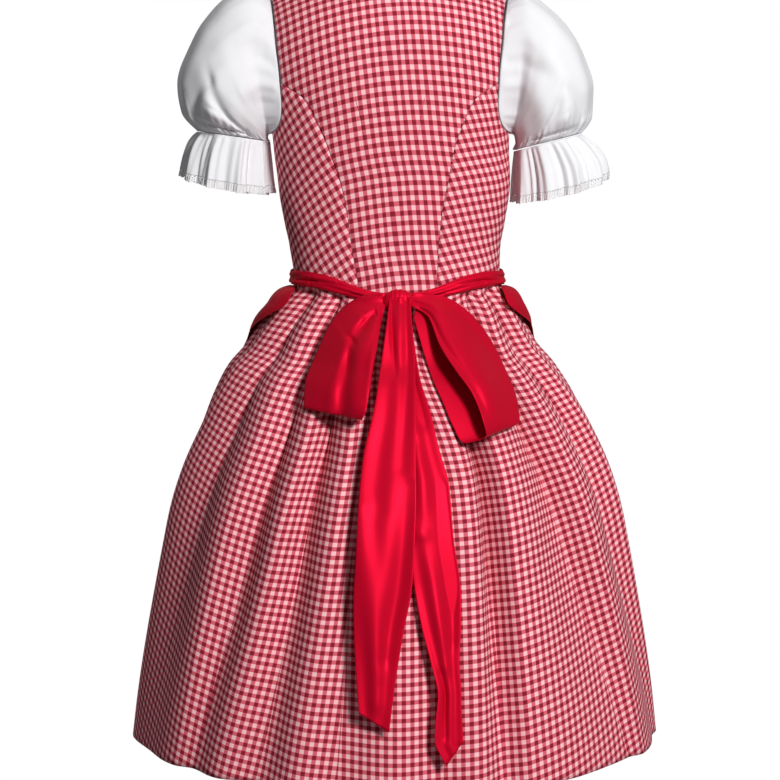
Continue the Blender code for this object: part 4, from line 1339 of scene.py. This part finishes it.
TIE_CREASES = table(
    Crease,
    (0.00, 0.35, 0.45, 0.55, 0.0022, 0.0032),
    (0.30, 0.20, 0.80, 0.40, 0.0020, 0.0026),
    (0.55, 0.75, 1.00, 0.60, 0.0022, 0.0032),
    (0.05, 0.80, 0.50, 0.85, 0.0018, 0.0016),
    (0.10, 0.12, 0.35, 0.22, 0.0018, 0.0014),
    (0.62, 0.10, 1.00, 0.25, 0.0020, 0.0018),
    (0.20, 0.45, 0.70, 0.62, 0.0018, -0.0024),
    (0.50, 0.30, 0.95, 0.42, 0.0018, -0.0022),
)


@dataclass(frozen=True)
class Apron:
    """The gathered satin panel with its waistband and ties."""

    form: SkirtForm
    top_gap: float = 0.0024
    hem: float = 0.930
    folds: int = 10
    fold_height: float = 0.009
    puff: float = 0.004
    puff_share: float = 0.04
    flap: float = 0.18
    front_out: float = 0.007
    gathers: int = 44
    gather_height: float = 0.0016
    band_half_height: float = 0.0125
    tie_half_height: float = 0.0095
    tie_end_side: float = 92.0
    tie_end_back: float = 3.2
    tie_taper: float = 0.62
    tie_clear: float = 0.0028
    tie_height: float = -0.3915
    tie_dip: float = 0.0245
    edges: tuple[ApronEdge, ...] = APRON_EDGES
    tie_creases: tuple[Crease, ...] = TIE_CREASES

    def middle(self, angle: float) -> float:
        """Height of the middle of the ties, which dip into the bow."""
        return self.tie_height - self.tie_dip * max(0.0, math.cos(math.radians(angle))) ** 7

    def band_edge(self, angle: float, side: int) -> float:
        """Height of the waistband's upper (1) or lower (-1) edge."""
        front = max(0.0, -math.cos(math.radians(angle)))
        half_height = mix(self.tie_half_height, self.band_half_height, min(1.0, 2.0 * front))
        return self.middle(angle) + side * half_height

    def panel_point(self, across: float, down: float) -> Vector:
        """Point of the gathered panel."""
        share = down ** 1.6
        edge = between(self.edges, share)
        side = 1.0 - ease(min(across, 1.0 - across), 0.0, self.flap)
        plain = mix(self.edges[0].left, self.edges[-1].left, ease(share, 0.0, 0.25))
        angle = mix(mix(plain, edge.left, side), 360.0 - mix(plain, edge.right, side), across)
        top = self.form.fall_at(angle, self.band_edge(angle, -1) - self.top_gap)
        wave = 0.5 - 0.5 * math.cos(2.0 * math.pi * self.folds * across)
        inside = clamp(min(across, 1.0 - across) * self.folds / 1.5, 0.3, 1.0)
        grown = clamp(share / 0.06) * mix(1.0, 0.75, share) * inside
        fine = 0.5 + 0.5 * math.sin(2.0 * math.pi * self.gathers * across + 3.0 * math.sin(9.0 * across))
        out = mix(self.front_out, mix(edge.left_out, edge.right_out, across), side)
        out += self.fold_height * wave * grown
        gathered = ease(share, 0.0, 0.02) * (1.0 - ease(share, 0.05, 0.45))
        out += self.gather_height * fine * gathered * ease(min(across, 1.0 - across), 0.06, 0.12)
        point = self.form.place(angle, mix(top, self.hem, share), out)
        rise = clamp(share / self.puff_share)
        point.z += self.puff * 4.0 * rise * (1.0 - rise)
        return point

    def make(self) -> None:
        """Makes the panel, the waistband and the ties."""
        Sheet(
            "apron_panel",
            440,
            90,
            self.panel_point,
            flat(0.95, 0.56),
            SATIN,
            SATIN_WALL,
            Cut(0.80, 0.57, Hold.GATHERED, ("skirt_front_left", "skirt_front_right")),
        ).make()
        gap = 0.1

        def band(across: float, down: float) -> Vector:
            """Point of the waistband, with shallow creases across it."""
            angle = mix(self.tie_end_side + gap, 360.0 - self.tie_end_side - gap, across)
            height = mix(self.band_edge(angle, 1), self.band_edge(angle, -1), down)
            bulge = 0.0008 * math.sin(math.pi * down) + 0.0004 * math.sin(60.0 * across) ** 2
            return self.form.around_waist(angle, height, COTTON_WALL + self.tie_clear + bulge)

        Sheet(
            "apron_waistband",
            160,
            12,
            band,
            flat(0.36, 0.025),
            SATIN,
            SATIN_WALL,
            Cut(0.37, 0.027, Hold.STRETCHED, ("bodice_front_left", "bodice_front_right")),
        ).make()
        for side in Side:
            self.make_tie(side)

    def make_tie(self, side: Side) -> None:
        """Makes one tie, crumpled into long folds."""

        def place(across: float, down: float) -> Vector:
            """Point of the tie."""
            share = across if side is Side.LEFT else 1.0 - across
            angle = mix(self.tie_end_back, self.tie_end_side, share)
            half_height = self.tie_half_height * mix(self.tie_taper, 1.0, ease(share, 0.0, 0.40))
            height = self.middle(angle) + half_height * (1.0 - 2.0 * down)
            crumple = crease_height(self.tie_creases, share, down, (0.21, 0.019))
            rounding = 0.0016 * math.sin(math.pi * down)
            out = COTTON_WALL + self.tie_clear + rounding + crumple
            return self.form.around_waist(side.value * angle, height, out)

        Sheet(
            f"tie_{side.label}",
            150,
            24,
            place,
            flat(0.2, 0.02),
            SATIN,
            SATIN_WALL,
            Cut(0.21, 0.021, Hold.FOLDED, (f"bodice_side_back_{side.label}",)),
        ).make()


class TailRow(NamedTuple):
    """One level of a bow tail, by how far it hangs below the origin."""

    drop: float
    centre: float
    half_width: float
    stand_off: float
    slant: float


class LoopRow(NamedTuple):
    """One stretch of a bow loop's ribbon: its two edges and how far it stands out."""

    share: float
    outer_across: float
    outer_height: float
    inner_across: float
    inner_height: float
    stand_off: float


@dataclass(frozen=True)
class HalfBow:
    """Half of the bow: its loop and its tail with their creases.

    In a loop's creases 0 is the inner edge and 1 the outer one. In a tail's, 0 is picture right.
    """

    side: Side
    loop: tuple[LoopRow, ...]
    tail: tuple[TailRow, ...]
    loop_creases: tuple[Crease, ...]
    tail_creases: tuple[Crease, ...]


LEFT_LOOP = table(
    LoopRow,
    (0.00, 0.0157, -0.409, 0.0155, -0.425, 0.020),
    (0.12, 0.040, -0.4115, 0.021, -0.446, 0.025),
    (0.22, 0.065, -0.425, 0.025, -0.470, 0.029),
    (0.32, 0.085, -0.449, 0.030, -0.496, 0.032),
    (0.40, 0.100, -0.482, 0.034, -0.523, 0.030),
    (0.46, 0.114, -0.520, 0.038, -0.546, 0.024),
    (0.50, 0.115, -0.547, 0.043, -0.558, 0.015),
    (0.54, 0.113, -0.541, 0.042, -0.553, 0.008),
    (0.65, 0.096, -0.486, 0.034, -0.526, 0.005),
    (0.80, 0.064, -0.448, 0.028, -0.475, 0.007),
    (0.92, 0.034, -0.431, 0.023, -0.446, 0.010),
    (1.00, 0.021, -0.425, 0.019, -0.436, 0.012),
)
LEFT_TAIL = table(
    TailRow,
    (0.413, -0.003, 0.013, 0.0292, 0.0),
    (0.447, -0.002, 0.016, 0.0265, 0.0),
    (0.482, -0.001, 0.020, 0.0220, 0.0),
    (0.542, 0.003, 0.025, 0.016, 0.0),
    (0.605, 0.010, 0.032, 0.013, 0.0),
    (0.671, 0.013, 0.035, 0.012, 0.0),
    (0.748, 0.017, 0.035, 0.011, 0.0),
    (0.814, 0.023, 0.029, 0.010, 0.0),
    (0.869, 0.026, 0.023, 0.010, 0.0),
    (0.914, 0.028, 0.018, 0.010, -0.011),
)
LEFT_LOOP_CREASES = table(
    Crease,
    (0.36, 0.12, 0.52, 0.30, 0.0055, -0.0110),
    (0.60, 0.20, 0.55, 0.50, 0.0045, 0.0040),
    (0.52, 0.30, 0.34, 0.50, 0.0050, -0.0110),
    (0.06, 0.20, 0.04, 0.42, 0.0030, 0.0030),
    (0.85, 0.02, 0.90, 0.30, 0.0070, 0.0030),
    (0.80, 0.32, 0.75, 0.50, 0.0080, 0.0030),
    (0.40, 0.30, 0.38, 0.48, 0.0045, 0.0025),
)
LEFT_TAIL_CREASES = table(
    Crease,
    (0.92, 0.00, 0.55, 0.18, 0.0050, -0.0035),
    (0.55, 0.18, 0.60, 0.50, 0.0120, -0.0030),
    (0.20, 0.02, 0.25, 0.40, 0.0090, -0.0025),
    (0.95, 0.50, 0.45, 0.95, 0.0130, 0.0070),
    (0.10, 0.45, 0.30, 0.85, 0.0100, -0.0050),
)
RIGHT_LOOP = table(
    LoopRow,
    (0.00, -0.0177, -0.409, -0.0176, -0.425, 0.020),
    (0.12, -0.053, -0.4125, -0.037, -0.437, 0.026),
    (0.22, -0.087, -0.432, -0.052, -0.472, 0.031),
    (0.32, -0.115, -0.466, -0.071, -0.501, 0.034),
    (0.40, -0.134, -0.504, -0.090, -0.527, 0.032),
    (0.46, -0.147, -0.539, -0.101, -0.553, 0.026),
    (0.50, -0.150, -0.564, -0.107, -0.577, 0.018),
    (0.54, -0.137, -0.571, -0.082, -0.587, 0.009),
    (0.62, -0.121, -0.538, -0.067, -0.567, 0.006),
    (0.72, -0.099, -0.503, -0.055, -0.539, 0.005),
    (0.82, -0.071, -0.467, -0.042, -0.510, 0.005),
    (0.92, -0.040, -0.436, -0.028, -0.466, 0.010),
    (1.00, -0.023, -0.425, -0.020, -0.438, 0.012),
)
RIGHT_TAIL = table(
    TailRow,
    (0.4317, -0.002, 0.010, 0.0190, 0.0),
    (0.460, -0.006, 0.013, 0.012, 0.0),
    (0.509, -0.010, 0.017, 0.005, 0.0),
    (0.556, -0.018, 0.023, 0.003, 0.0),
    (0.601, -0.026, 0.026, 0.002, 0.0),
    (0.635, -0.034, 0.028, 0.002, 0.0),
    (0.703, -0.040, 0.028, 0.002, 0.0),
    (0.749, -0.047, 0.028, 0.002, 0.0),
    (0.800, -0.052, 0.024, 0.005, 0.0),
    (0.846, -0.057, 0.017, 0.007, 0.0),
    (0.883, -0.062, 0.014, 0.009, 0.0),
    (0.913, -0.061, 0.016, 0.010, 0.0),
    (0.936, -0.061, 0.017, 0.010, 0.0),
    (0.952, -0.068, 0.010, 0.009, 0.014),
)
RIGHT_LOOP_CREASES = table(
    Crease,
    (0.55, 0.03, 0.50, 0.20, 0.0060, 0.0030),
    (0.10, 0.05, 0.12, 0.45, 0.0040, -0.0040),
    (0.85, 0.10, 0.80, 0.42, 0.0050, -0.0030),
    (0.45, 0.25, 0.40, 0.48, 0.0080, 0.0030),
)
RIGHT_TAIL_CREASES = table(
    Crease,
    (0.30, 0.00, 0.30, 0.25, 0.0090, -0.0040),
    (0.50, 0.28, 0.70, 0.50, 0.0110, 0.0060),
    (0.70, 0.50, 0.50, 0.80, 0.0100, 0.0050),
    (0.15, 0.40, 0.20, 0.75, 0.0080, -0.0040),
    (0.70, 0.82, 0.60, 0.96, 0.0060, -0.0050),
)


@dataclass(frozen=True)
class Bow:
    """The bow at the centre back: knot, two loops and two tails."""

    form: SkirtForm
    knot_centre: tuple[float, float, float] = (-0.001, 0.1195, -0.4185)
    knot_size: tuple[float, float, float] = (0.040, 0.020, 0.030)
    loop_shape: tuple[float, float] = (0.045, 0.36)
    tail_shape: tuple[float, float] = (0.06, 0.50)
    crown: float = 0.25
    lean: float = 0.75
    clear: float = 0.0020
    halves: tuple[HalfBow, ...] = (
        HalfBow(Side.LEFT, LEFT_LOOP, LEFT_TAIL, LEFT_LOOP_CREASES, LEFT_TAIL_CREASES),
        HalfBow(Side.RIGHT, RIGHT_LOOP, RIGHT_TAIL, RIGHT_LOOP_CREASES, RIGHT_TAIL_CREASES),
    )

    def make(self) -> None:
        """Makes the knot, the loops and the tails."""
        self.make_knot()
        for half in self.halves:
            self.make_loop(half)
            self.make_tail(half)

    def make_knot(self) -> None:
        """Makes the knot, with grooves where the ribbon wraps round it."""
        knot = bmesh.new()
        bmesh.ops.create_uvsphere(knot, u_segments=64, v_segments=32, radius=0.5)
        layer = knot.loops.layers.uv.new("cloth")
        for face in knot.faces:
            for loop in face.loops:
                loop[layer].uv = (loop.vert.co.x * 0.04, loop.vert.co.z * 0.03)
        for vertex in knot.verts:
            groove = 1.0 - 0.07 * math.cos(7.0 * math.pi * vertex.co.x) ** 2
            size = (self.knot_size[0], self.knot_size[1] * groove, self.knot_size[2] * groove)
            vertex.co = Vector(self.knot_centre) + Vector(
                [length * part for length, part in zip(size, vertex.co)]
            )
        finish_piece("bow_knot_wrap", knot, SATIN, "bow_knot")

    def make_loop(self, half: HalfBow) -> None:
        """Makes one loop: the ribbon runs out over it, turns at its end and runs back below."""

        def place(across: float, down: float) -> Vector:
            """Point of the loop."""
            row = between(half.loop, down)
            share = across if half.side is Side.LEFT else 1.0 - across
            offset = 2.0 * share - 1.0
            upper = ease(1.0 - abs(down - 0.25) / 0.25, 0.0, 0.35)
            leaning = 1.0 - self.lean * offset * ease(down, 0.05, 0.30) * (1.0 - ease(down, 0.50, 0.56))
            crown = (1.0 - self.crown * offset ** 2 * upper) * leaning
            fold = crease_height(half.loop_creases, share, down, self.loop_shape)
            out = max(self.clear, COTTON_WALL + row.stand_off * crown + fold)
            return self.form.lie(
                mix(row.inner_across, row.outer_across, share),
                mix(row.inner_height, row.outer_height, share),
                out,
            )

        Sheet(
            f"bow_loop_{half.side.label}",
            48,
            130,
            place,
            flat(0.06, 0.4),
            SATIN,
            SATIN_WALL,
            Cut(0.06, 0.36, Hold.FOLDED, (f"skirt_back_{half.side.label}",)),
        ).make()

    def make_tail(self, half: HalfBow) -> None:
        """Makes one tail, which hangs down the skirt's centre back."""
        first, last = half.tail[0].drop, half.tail[-1].drop

        def place(across: float, down: float) -> Vector:
            """Point of the tail."""
            drop = mix(first, last, down)
            row = between(half.tail, drop)
            offset = 2.0 * across - 1.0
            fold = crease_height(half.tail_creases, across, down, self.tail_shape)
            curl = 0.0009 * math.cos(2.0 * math.pi * offset)
            out = max(self.clear, COTTON_WALL + row.stand_off + fold + curl)
            return self.form.lie(row.centre + row.half_width * offset, -row.slant * offset - drop, out)

        Sheet(
            f"bow_tail_{half.side.label}",
            40,
            170,
            place,
            flat(0.06, 0.5),
            SATIN,
            SATIN_WALL,
            Cut(0.065, last - first + 0.01, Hold.DRAPED, (f"skirt_back_{half.side.label}",)),
        ).make()


class SleeveRing(NamedTuple):
    """One ring round the arm, by its outer and inner points seen from the back."""

    outer_across: float
    outer_height: float
    inner_across: float
    inner_height: float
    half_depth: float
    gather: float

    def middle(self) -> Vector:
        """Point in the middle of the ring."""
        across, height = self.inner_across + self.outer_across, self.inner_height + self.outer_height
        return Vector((across, 0.0, height)) / 2


@dataclass(frozen=True)
class SleeveShape:
    """The rings of one sleeve and of its frill, with the sleeve's creases."""

    side: Side
    rings: tuple[SleeveRing, ...]
    frill: tuple[SleeveRing, ...]
    creases: tuple[Crease, ...]


LEFT_SLEEVE = table(
    SleeveRing,
    (0.1880, -0.0180, 0.1664, -0.2086, 0.068, 0.0020),
    (0.2220, -0.0360, 0.1672, -0.2098, 0.077, 0.0018),
    (0.2490, -0.0660, 0.1676, -0.2110, 0.083, 0.0014),
    (0.2690, -0.1030, 0.1678, -0.2122, 0.084, 0.0012),
    (0.2825, -0.1450, 0.1678, -0.2136, 0.078, 0.0014),
    (0.2775, -0.1800, 0.1674, -0.2152, 0.066, 0.0018),
    (0.2570, -0.2050, 0.1655, -0.2180, 0.047, 0.0016),
)
LEFT_FRILL = table(
    SleeveRing,
    (0.2571, -0.2059, 0.1655, -0.2189, 0.047, 0.0016),
    (0.2665, -0.2200, 0.1645, -0.2400, 0.053, 0.0030),
    (0.2725, -0.2380, 0.1635, -0.2580, 0.058, 0.0036),
    (0.2760, -0.2545, 0.1625, -0.2745, 0.061, 0.0040),
    (0.2775, -0.2615, 0.1620, -0.2820, 0.062, 0.0042),
)
LEFT_SLEEVE_CREASES = table(
    Crease,
    (0.20, 0.60, 0.12, 0.86, 0.0090, -0.0060),
    (0.20, 0.60, 0.34, 0.86, 0.0090, -0.0060),
    (0.23, 0.74, 0.23, 0.86, 0.0150, 0.0070),
    (0.14, 0.90, 0.36, 0.92, 0.0060, -0.0070),
    (0.24, 0.10, 0.18, 0.55, 0.0120, -0.0050),
    (0.32, 0.05, 0.30, 0.42, 0.0110, 0.0030),
)
RIGHT_SLEEVE = table(
    SleeveRing,
    (-0.1600, -0.0270, -0.1490, -0.2090, 0.066, 0.0020),
    (-0.1870, -0.0440, -0.1503, -0.2120, 0.075, 0.0018),
    (-0.2150, -0.0700, -0.1510, -0.2145, 0.081, 0.0014),
    (-0.2380, -0.1100, -0.1514, -0.2170, 0.082, 0.0012),
    (-0.2505, -0.1520, -0.1516, -0.2198, 0.076, 0.0014),
    (-0.2480, -0.1860, -0.1514, -0.2232, 0.065, 0.0018),
    (-0.2350, -0.2080, -0.1505, -0.2290, 0.046, 0.0016),
)
RIGHT_FRILL = table(
    SleeveRing,
    (-0.2352, -0.2096, -0.1506, -0.2306, 0.046, 0.0016),
    (-0.2520, -0.2250, -0.1500, -0.2500, 0.053, 0.0030),
    (-0.2640, -0.2430, -0.1495, -0.2700, 0.059, 0.0036),
    (-0.2675, -0.2590, -0.1490, -0.2865, 0.063, 0.0040),
    (-0.2665, -0.2660, -0.1488, -0.2935, 0.064, 0.0042),
)
RIGHT_SLEEVE_CREASES = table(
    Crease,
    (0.80, 0.58, 0.88, 0.84, 0.0090, -0.0045),
    (0.78, 0.60, 0.66, 0.86, 0.0090, -0.0045),
    (0.78, 0.74, 0.78, 0.86, 0.0120, 0.0040),
    (0.64, 0.90, 0.84, 0.92, 0.0060, -0.0055),
    (0.72, 0.10, 0.78, 0.50, 0.0110, -0.0030),
)


@dataclass(frozen=True)
class Sleeves:
    """The puff sleeves with their frills and lace edges."""

    figure: Figure
    columns: int = 330
    sleeve_rows: int = 80
    frill_rows: int = 36
    lace_rows: int = 8
    cloth_rings: int = 4
    sag: float = 0.008
    gathers: int = 10
    root_clear: float = 0.0016
    root_shrink: float = 0.985
    scallops: int = 56
    scallop_depth: float = 0.0014
    shapes: tuple[SleeveShape, ...] = (
        SleeveShape(Side.LEFT, LEFT_SLEEVE, LEFT_FRILL, LEFT_SLEEVE_CREASES),
        SleeveShape(Side.RIGHT, RIGHT_SLEEVE, RIGHT_FRILL, RIGHT_SLEEVE_CREASES),
    )

    def ring_point(self, ring: SleeveRing, turn: float, sag: float = 0.0) -> Vector:
        """Point of a ring; the turn runs from the outer point round the back."""
        lean = 0.5 + 0.5 * math.cos(turn)
        across = mix(ring.inner_across, ring.outer_across, lean)
        height = mix(ring.inner_height, ring.outer_height, lean)
        return Vector((across, ring.half_depth * math.sin(turn), height - sag * abs(math.sin(turn))))

    def root_point(self, side: Side, turn: float) -> Vector:
        """Point of the sleeve's first ring, just inside and clear of the bodice's armhole."""
        front = math.sin(turn) < 0.0
        around = 180.0 - abs(math.degrees(math.remainder(turn, 2 * math.pi)))
        across, height = self.figure.armhole(around, front)
        angle, down = self.figure.torso_place(across, height, front)
        edge = self.figure.torso(angle, down)
        middle = (self.figure.armhole_bottom - self.figure.shoulder_drop) / 2
        return Vector(
            (
                edge.x - across + side.value * (across + self.root_clear),
                edge.y * self.root_shrink,
                middle + (height - middle) * self.root_shrink,
            )
        )

    def along(self, stations: list[Vector], share: float) -> Vector:
        """Point on a smooth curve through stations that are evenly numbered."""
        places = list(range(len(stations)))
        return Vector([curve(places, column, share * (len(stations) - 1)) for column in zip(*stations)])

    def gather(self, turn: float, down: float, count: int) -> float:
        """Wave of uneven fine gathers round a sleeve, from -1 to 1."""
        first = math.cos(count * turn + 2.0 * math.sin(3.0 * turn + 2.0 * down))
        second = math.cos(1.6 * count * turn + 3.0 * math.sin(2.0 * turn) + 4.0 * down)
        return 0.65 * first + 0.35 * second

    def make(self) -> None:
        """Makes both sleeves with their frills and lace."""
        for shape in self.shapes:
            self.make_sleeve(shape)
            self.make_frill(shape)

    def make_sleeve(self, shape: SleeveShape) -> None:
        """Makes one puff, gathered at the armhole and at the elastic."""
        sign = shape.side.value
        stations: dict[float, list[Vector]] = {}
        centres = [ring.middle() for ring in (shape.rings[0], *shape.rings)]

        def place(across: float, down: float) -> Vector:
            """Point of the puff."""
            turn = 2.0 * math.pi * across * sign
            if across not in stations:
                stations[across] = [self.root_point(shape.side, turn)]
                stations[across] += [self.ring_point(ring, turn) for ring in shape.rings]
            point = self.along(stations[across], down)
            away = (point - self.along(centres, down)).normalized()
            head = 1.0 - ease(down, 0.06, 0.40)
            cuff = ease(down, 0.72, 0.97)
            height = 0.0016 * math.cos(self.gathers * turn) * mix(0.6, 1.0, cuff)
            height += 0.0006 * head * ease(down, 0.0, 0.05) * self.gather(turn, down, 23)
            height += 0.0020 * cuff * self.gather(turn, down, 29)
            height += crease_height(shape.creases, across, down, (0.50, 0.22))
            uneven = 0.0020 * ripple(point, 0.035, 2.0) * ease(down, 0.05, 0.3)
            height += uneven * (1.0 - ease(down, 0.85, 1.0))
            return point + away * (height * ease(down, 0.0, 0.04) * (1.0 - 0.5 * ease(down, 0.96, 1.0)))

        Sheet(
            f"sleeve_{shape.side.label}",
            self.columns,
            self.sleeve_rows,
            place,
            flat(0.5, 0.22),
            COTTON,
            COTTON_WALL,
            Cut(0.50, 0.20, Hold.GATHERED, area=0.078),
            True,
        ).make()

    def make_frill(self, shape: SleeveShape) -> None:
        """Makes the frill below the elastic and the lace on its edge."""
        sign = shape.side.value
        joint = (self.cloth_rings - 1) / self.cloth_rings

        def point(turn: float, share: float) -> Vector:
            """Point of the frill and its lace, by the share of the way down both."""
            last = len(shape.frill) - 1
            row = [curve(range(last + 1), column, share * last) for column in zip(*shape.frill)]
            ring = SleeveRing(*row)
            base = self.ring_point(ring, turn, self.sag * share)
            wave = ring.gather * math.cos(self.gathers * turn)
            flute = mix(0.0012, 0.0026, share) * self.gather(turn, 0.6 * share, 27)
            return base + (base - ring.middle()).normalized() * (wave + flute * ease(share, 0.0, 0.08))

        def frill(across: float, down: float) -> Vector:
            """Point of the frill."""
            return point(2.0 * math.pi * across * sign, down * joint)

        def lace(across: float, down: float) -> Vector:
            """Point of the lace, with its scalloped edge."""
            turn = 2.0 * math.pi * across * sign
            place = point(turn, mix(joint, 1.0, down))
            place.z -= self.scallop_depth * abs(math.sin(self.scallops * turn / 2)) * down
            place.z -= SEAM * (1.0 - down)
            return place

        Sheet(
            f"cuff_frill_{shape.side.label}",
            self.columns,
            self.frill_rows,
            frill,
            flat(0.5, 0.06),
            COTTON,
            COTTON_WALL,
            Cut(0.46, 0.055, Hold.GATHERED),
            True,
        ).make()
        Sheet(
            f"cuff_lace_{shape.side.label}",
            self.columns,
            self.lace_rows,
            lace,
            flat(0.48, 0.010),
            LACE,
            COTTON_WALL * 0.7,
            Cut(0.46, 0.010, Hold.GATHERED),
            True,
        ).make()


class Lamp(NamedTuple):
    """A soft area light: its place, what it faces, its size, power, colour and gleams on satin."""

    name: str
    place: tuple[float, float, float]
    aim: tuple[float, float, float]
    size: float
    power: float
    colour: tuple[float, float, float]
    gleams: bool


@dataclass(frozen=True)
class Studio:
    """Pale backdrop, soft lights, and the camera at the photo's angle."""

    backdrop_distance: float = 6.0
    backdrop_size: float = 5.0
    world_strength: float = 0.15
    camera_place: tuple[float, float, float] = (0.0, 3.2, -0.289)
    camera_aim: tuple[float, float, float] = (0.010, 0.0, -0.539)
    focal_pixels: float = 2475.0
    sensor: float = 36.0
    lamps: tuple[Lamp, ...] = (
        Lamp("key", (-1.40, 3.0, 0.95), (0.0, 0.0, -0.5), 0.8, 128.0, (1.0, 0.99, 0.98), True),
        Lamp("top", (-0.3, 0.9, 2.6), (0.0, 0.0, -0.4), 1.4, 6.0, (1.0, 1.0, 1.0), True),
        Lamp("front", (1.2, -2.8, 1.0), (0.0, 0.0, -0.4), 2.0, 30.0, (1.0, 1.0, 1.0), False),
    )

    def make(self) -> None:
        """Makes the backdrop, the world, the lights and the camera."""
        bpy.context.scene.view_settings.view_transform = "Standard"
        self.make_backdrop()
        self.make_world()
        for lamp in self.lamps:
            self.make_lamp(lamp)
        self.make_camera()

    def make_backdrop(self) -> None:
        """Makes the white, evenly lit backdrop behind the garment."""
        shape = bmesh.new()
        bmesh.ops.create_grid(shape, x_segments=1, y_segments=1, size=self.backdrop_size)
        bmesh.ops.rotate(shape, verts=shape.verts, matrix=Matrix.Rotation(-math.pi / 2, 3, "X"))
        offset = (0.0, -self.backdrop_distance, self.camera_aim[2])
        bmesh.ops.translate(shape, verts=shape.verts, vec=offset)
        data = mesh_of("backdrop", shape)
        backdrop = put("backdrop", data)
        material, _, shader = Finish("backdrop", (0.0, 0.0, 0.0), 1.0).start("plain")
        shader.inputs["Emission Color"].default_value = (1.0, 1.0, 1.0, 1.0)
        shader.inputs["Emission Strength"].default_value = 1.0
        data.materials.append(material)
        backdrop.visible_glossy = False

    def make_world(self) -> None:
        """Makes the even white surround."""
        world = bpy.data.worlds.new("surround")
        bpy.context.scene.world = world
        world.use_nodes = True
        shade = world.node_tree.nodes["Background"]
        shade.inputs["Color"].default_value = (1.0, 1.0, 1.0, 1.0)
        shade.inputs["Strength"].default_value = self.world_strength

    def make_lamp(self, lamp: Lamp) -> None:
        """Makes one soft light."""
        data = bpy.data.lights.new(lamp.name, "AREA")
        data.shape = "DISK"
        data.size = lamp.size
        data.energy = lamp.power
        data.color = lamp.colour
        light = put(lamp.name, data)
        light.matrix_world = look_at(Vector(lamp.place), Vector(lamp.aim))
        light.visible_glossy = lamp.gleams

    def make_camera(self) -> None:
        """Makes the camera that has the photo's frame."""
        data = bpy.data.cameras.new("camera")
        data.sensor_width = self.sensor
        data.lens = self.sensor * self.focal_pixels / PHOTO_PIXELS
        camera = put("camera", data)
        camera.matrix_world = look_at(Vector(self.camera_place), Vector(self.camera_aim))
        bpy.context.scene.camera = camera


def look_at(place: Vector, aim: Vector) -> Matrix:
    """Pose of a camera or light at a place, facing an aim."""
    turn = (aim - place).to_track_quat("-Z", "Y").to_matrix().to_4x4()
    return Matrix.Translation(place) @ turn


def corners(box: Sequence[Sequence[float]]) -> list[list[float]]:
    """A box's corners as plain lists."""
    return [[float(value) for value in corner] for corner in box]


def main() -> None:
    """Loads the frame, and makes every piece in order."""
    logging.basicConfig(level=logging.INFO, format="%(name)s %(message)s")
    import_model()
    Studio().make()
    figure = Figure()
    form = SkirtForm(figure)
    upper = UpperBody(figure, GirthMap(figure))
    upper.make_bodice()
    upper.make_blouse()
    Buttons(figure).make()
    Skirt(form).make()
    Apron(form).make()
    Bow(form).make()
    Sleeves(figure).make()


if __name__ == "__main__":
    main()
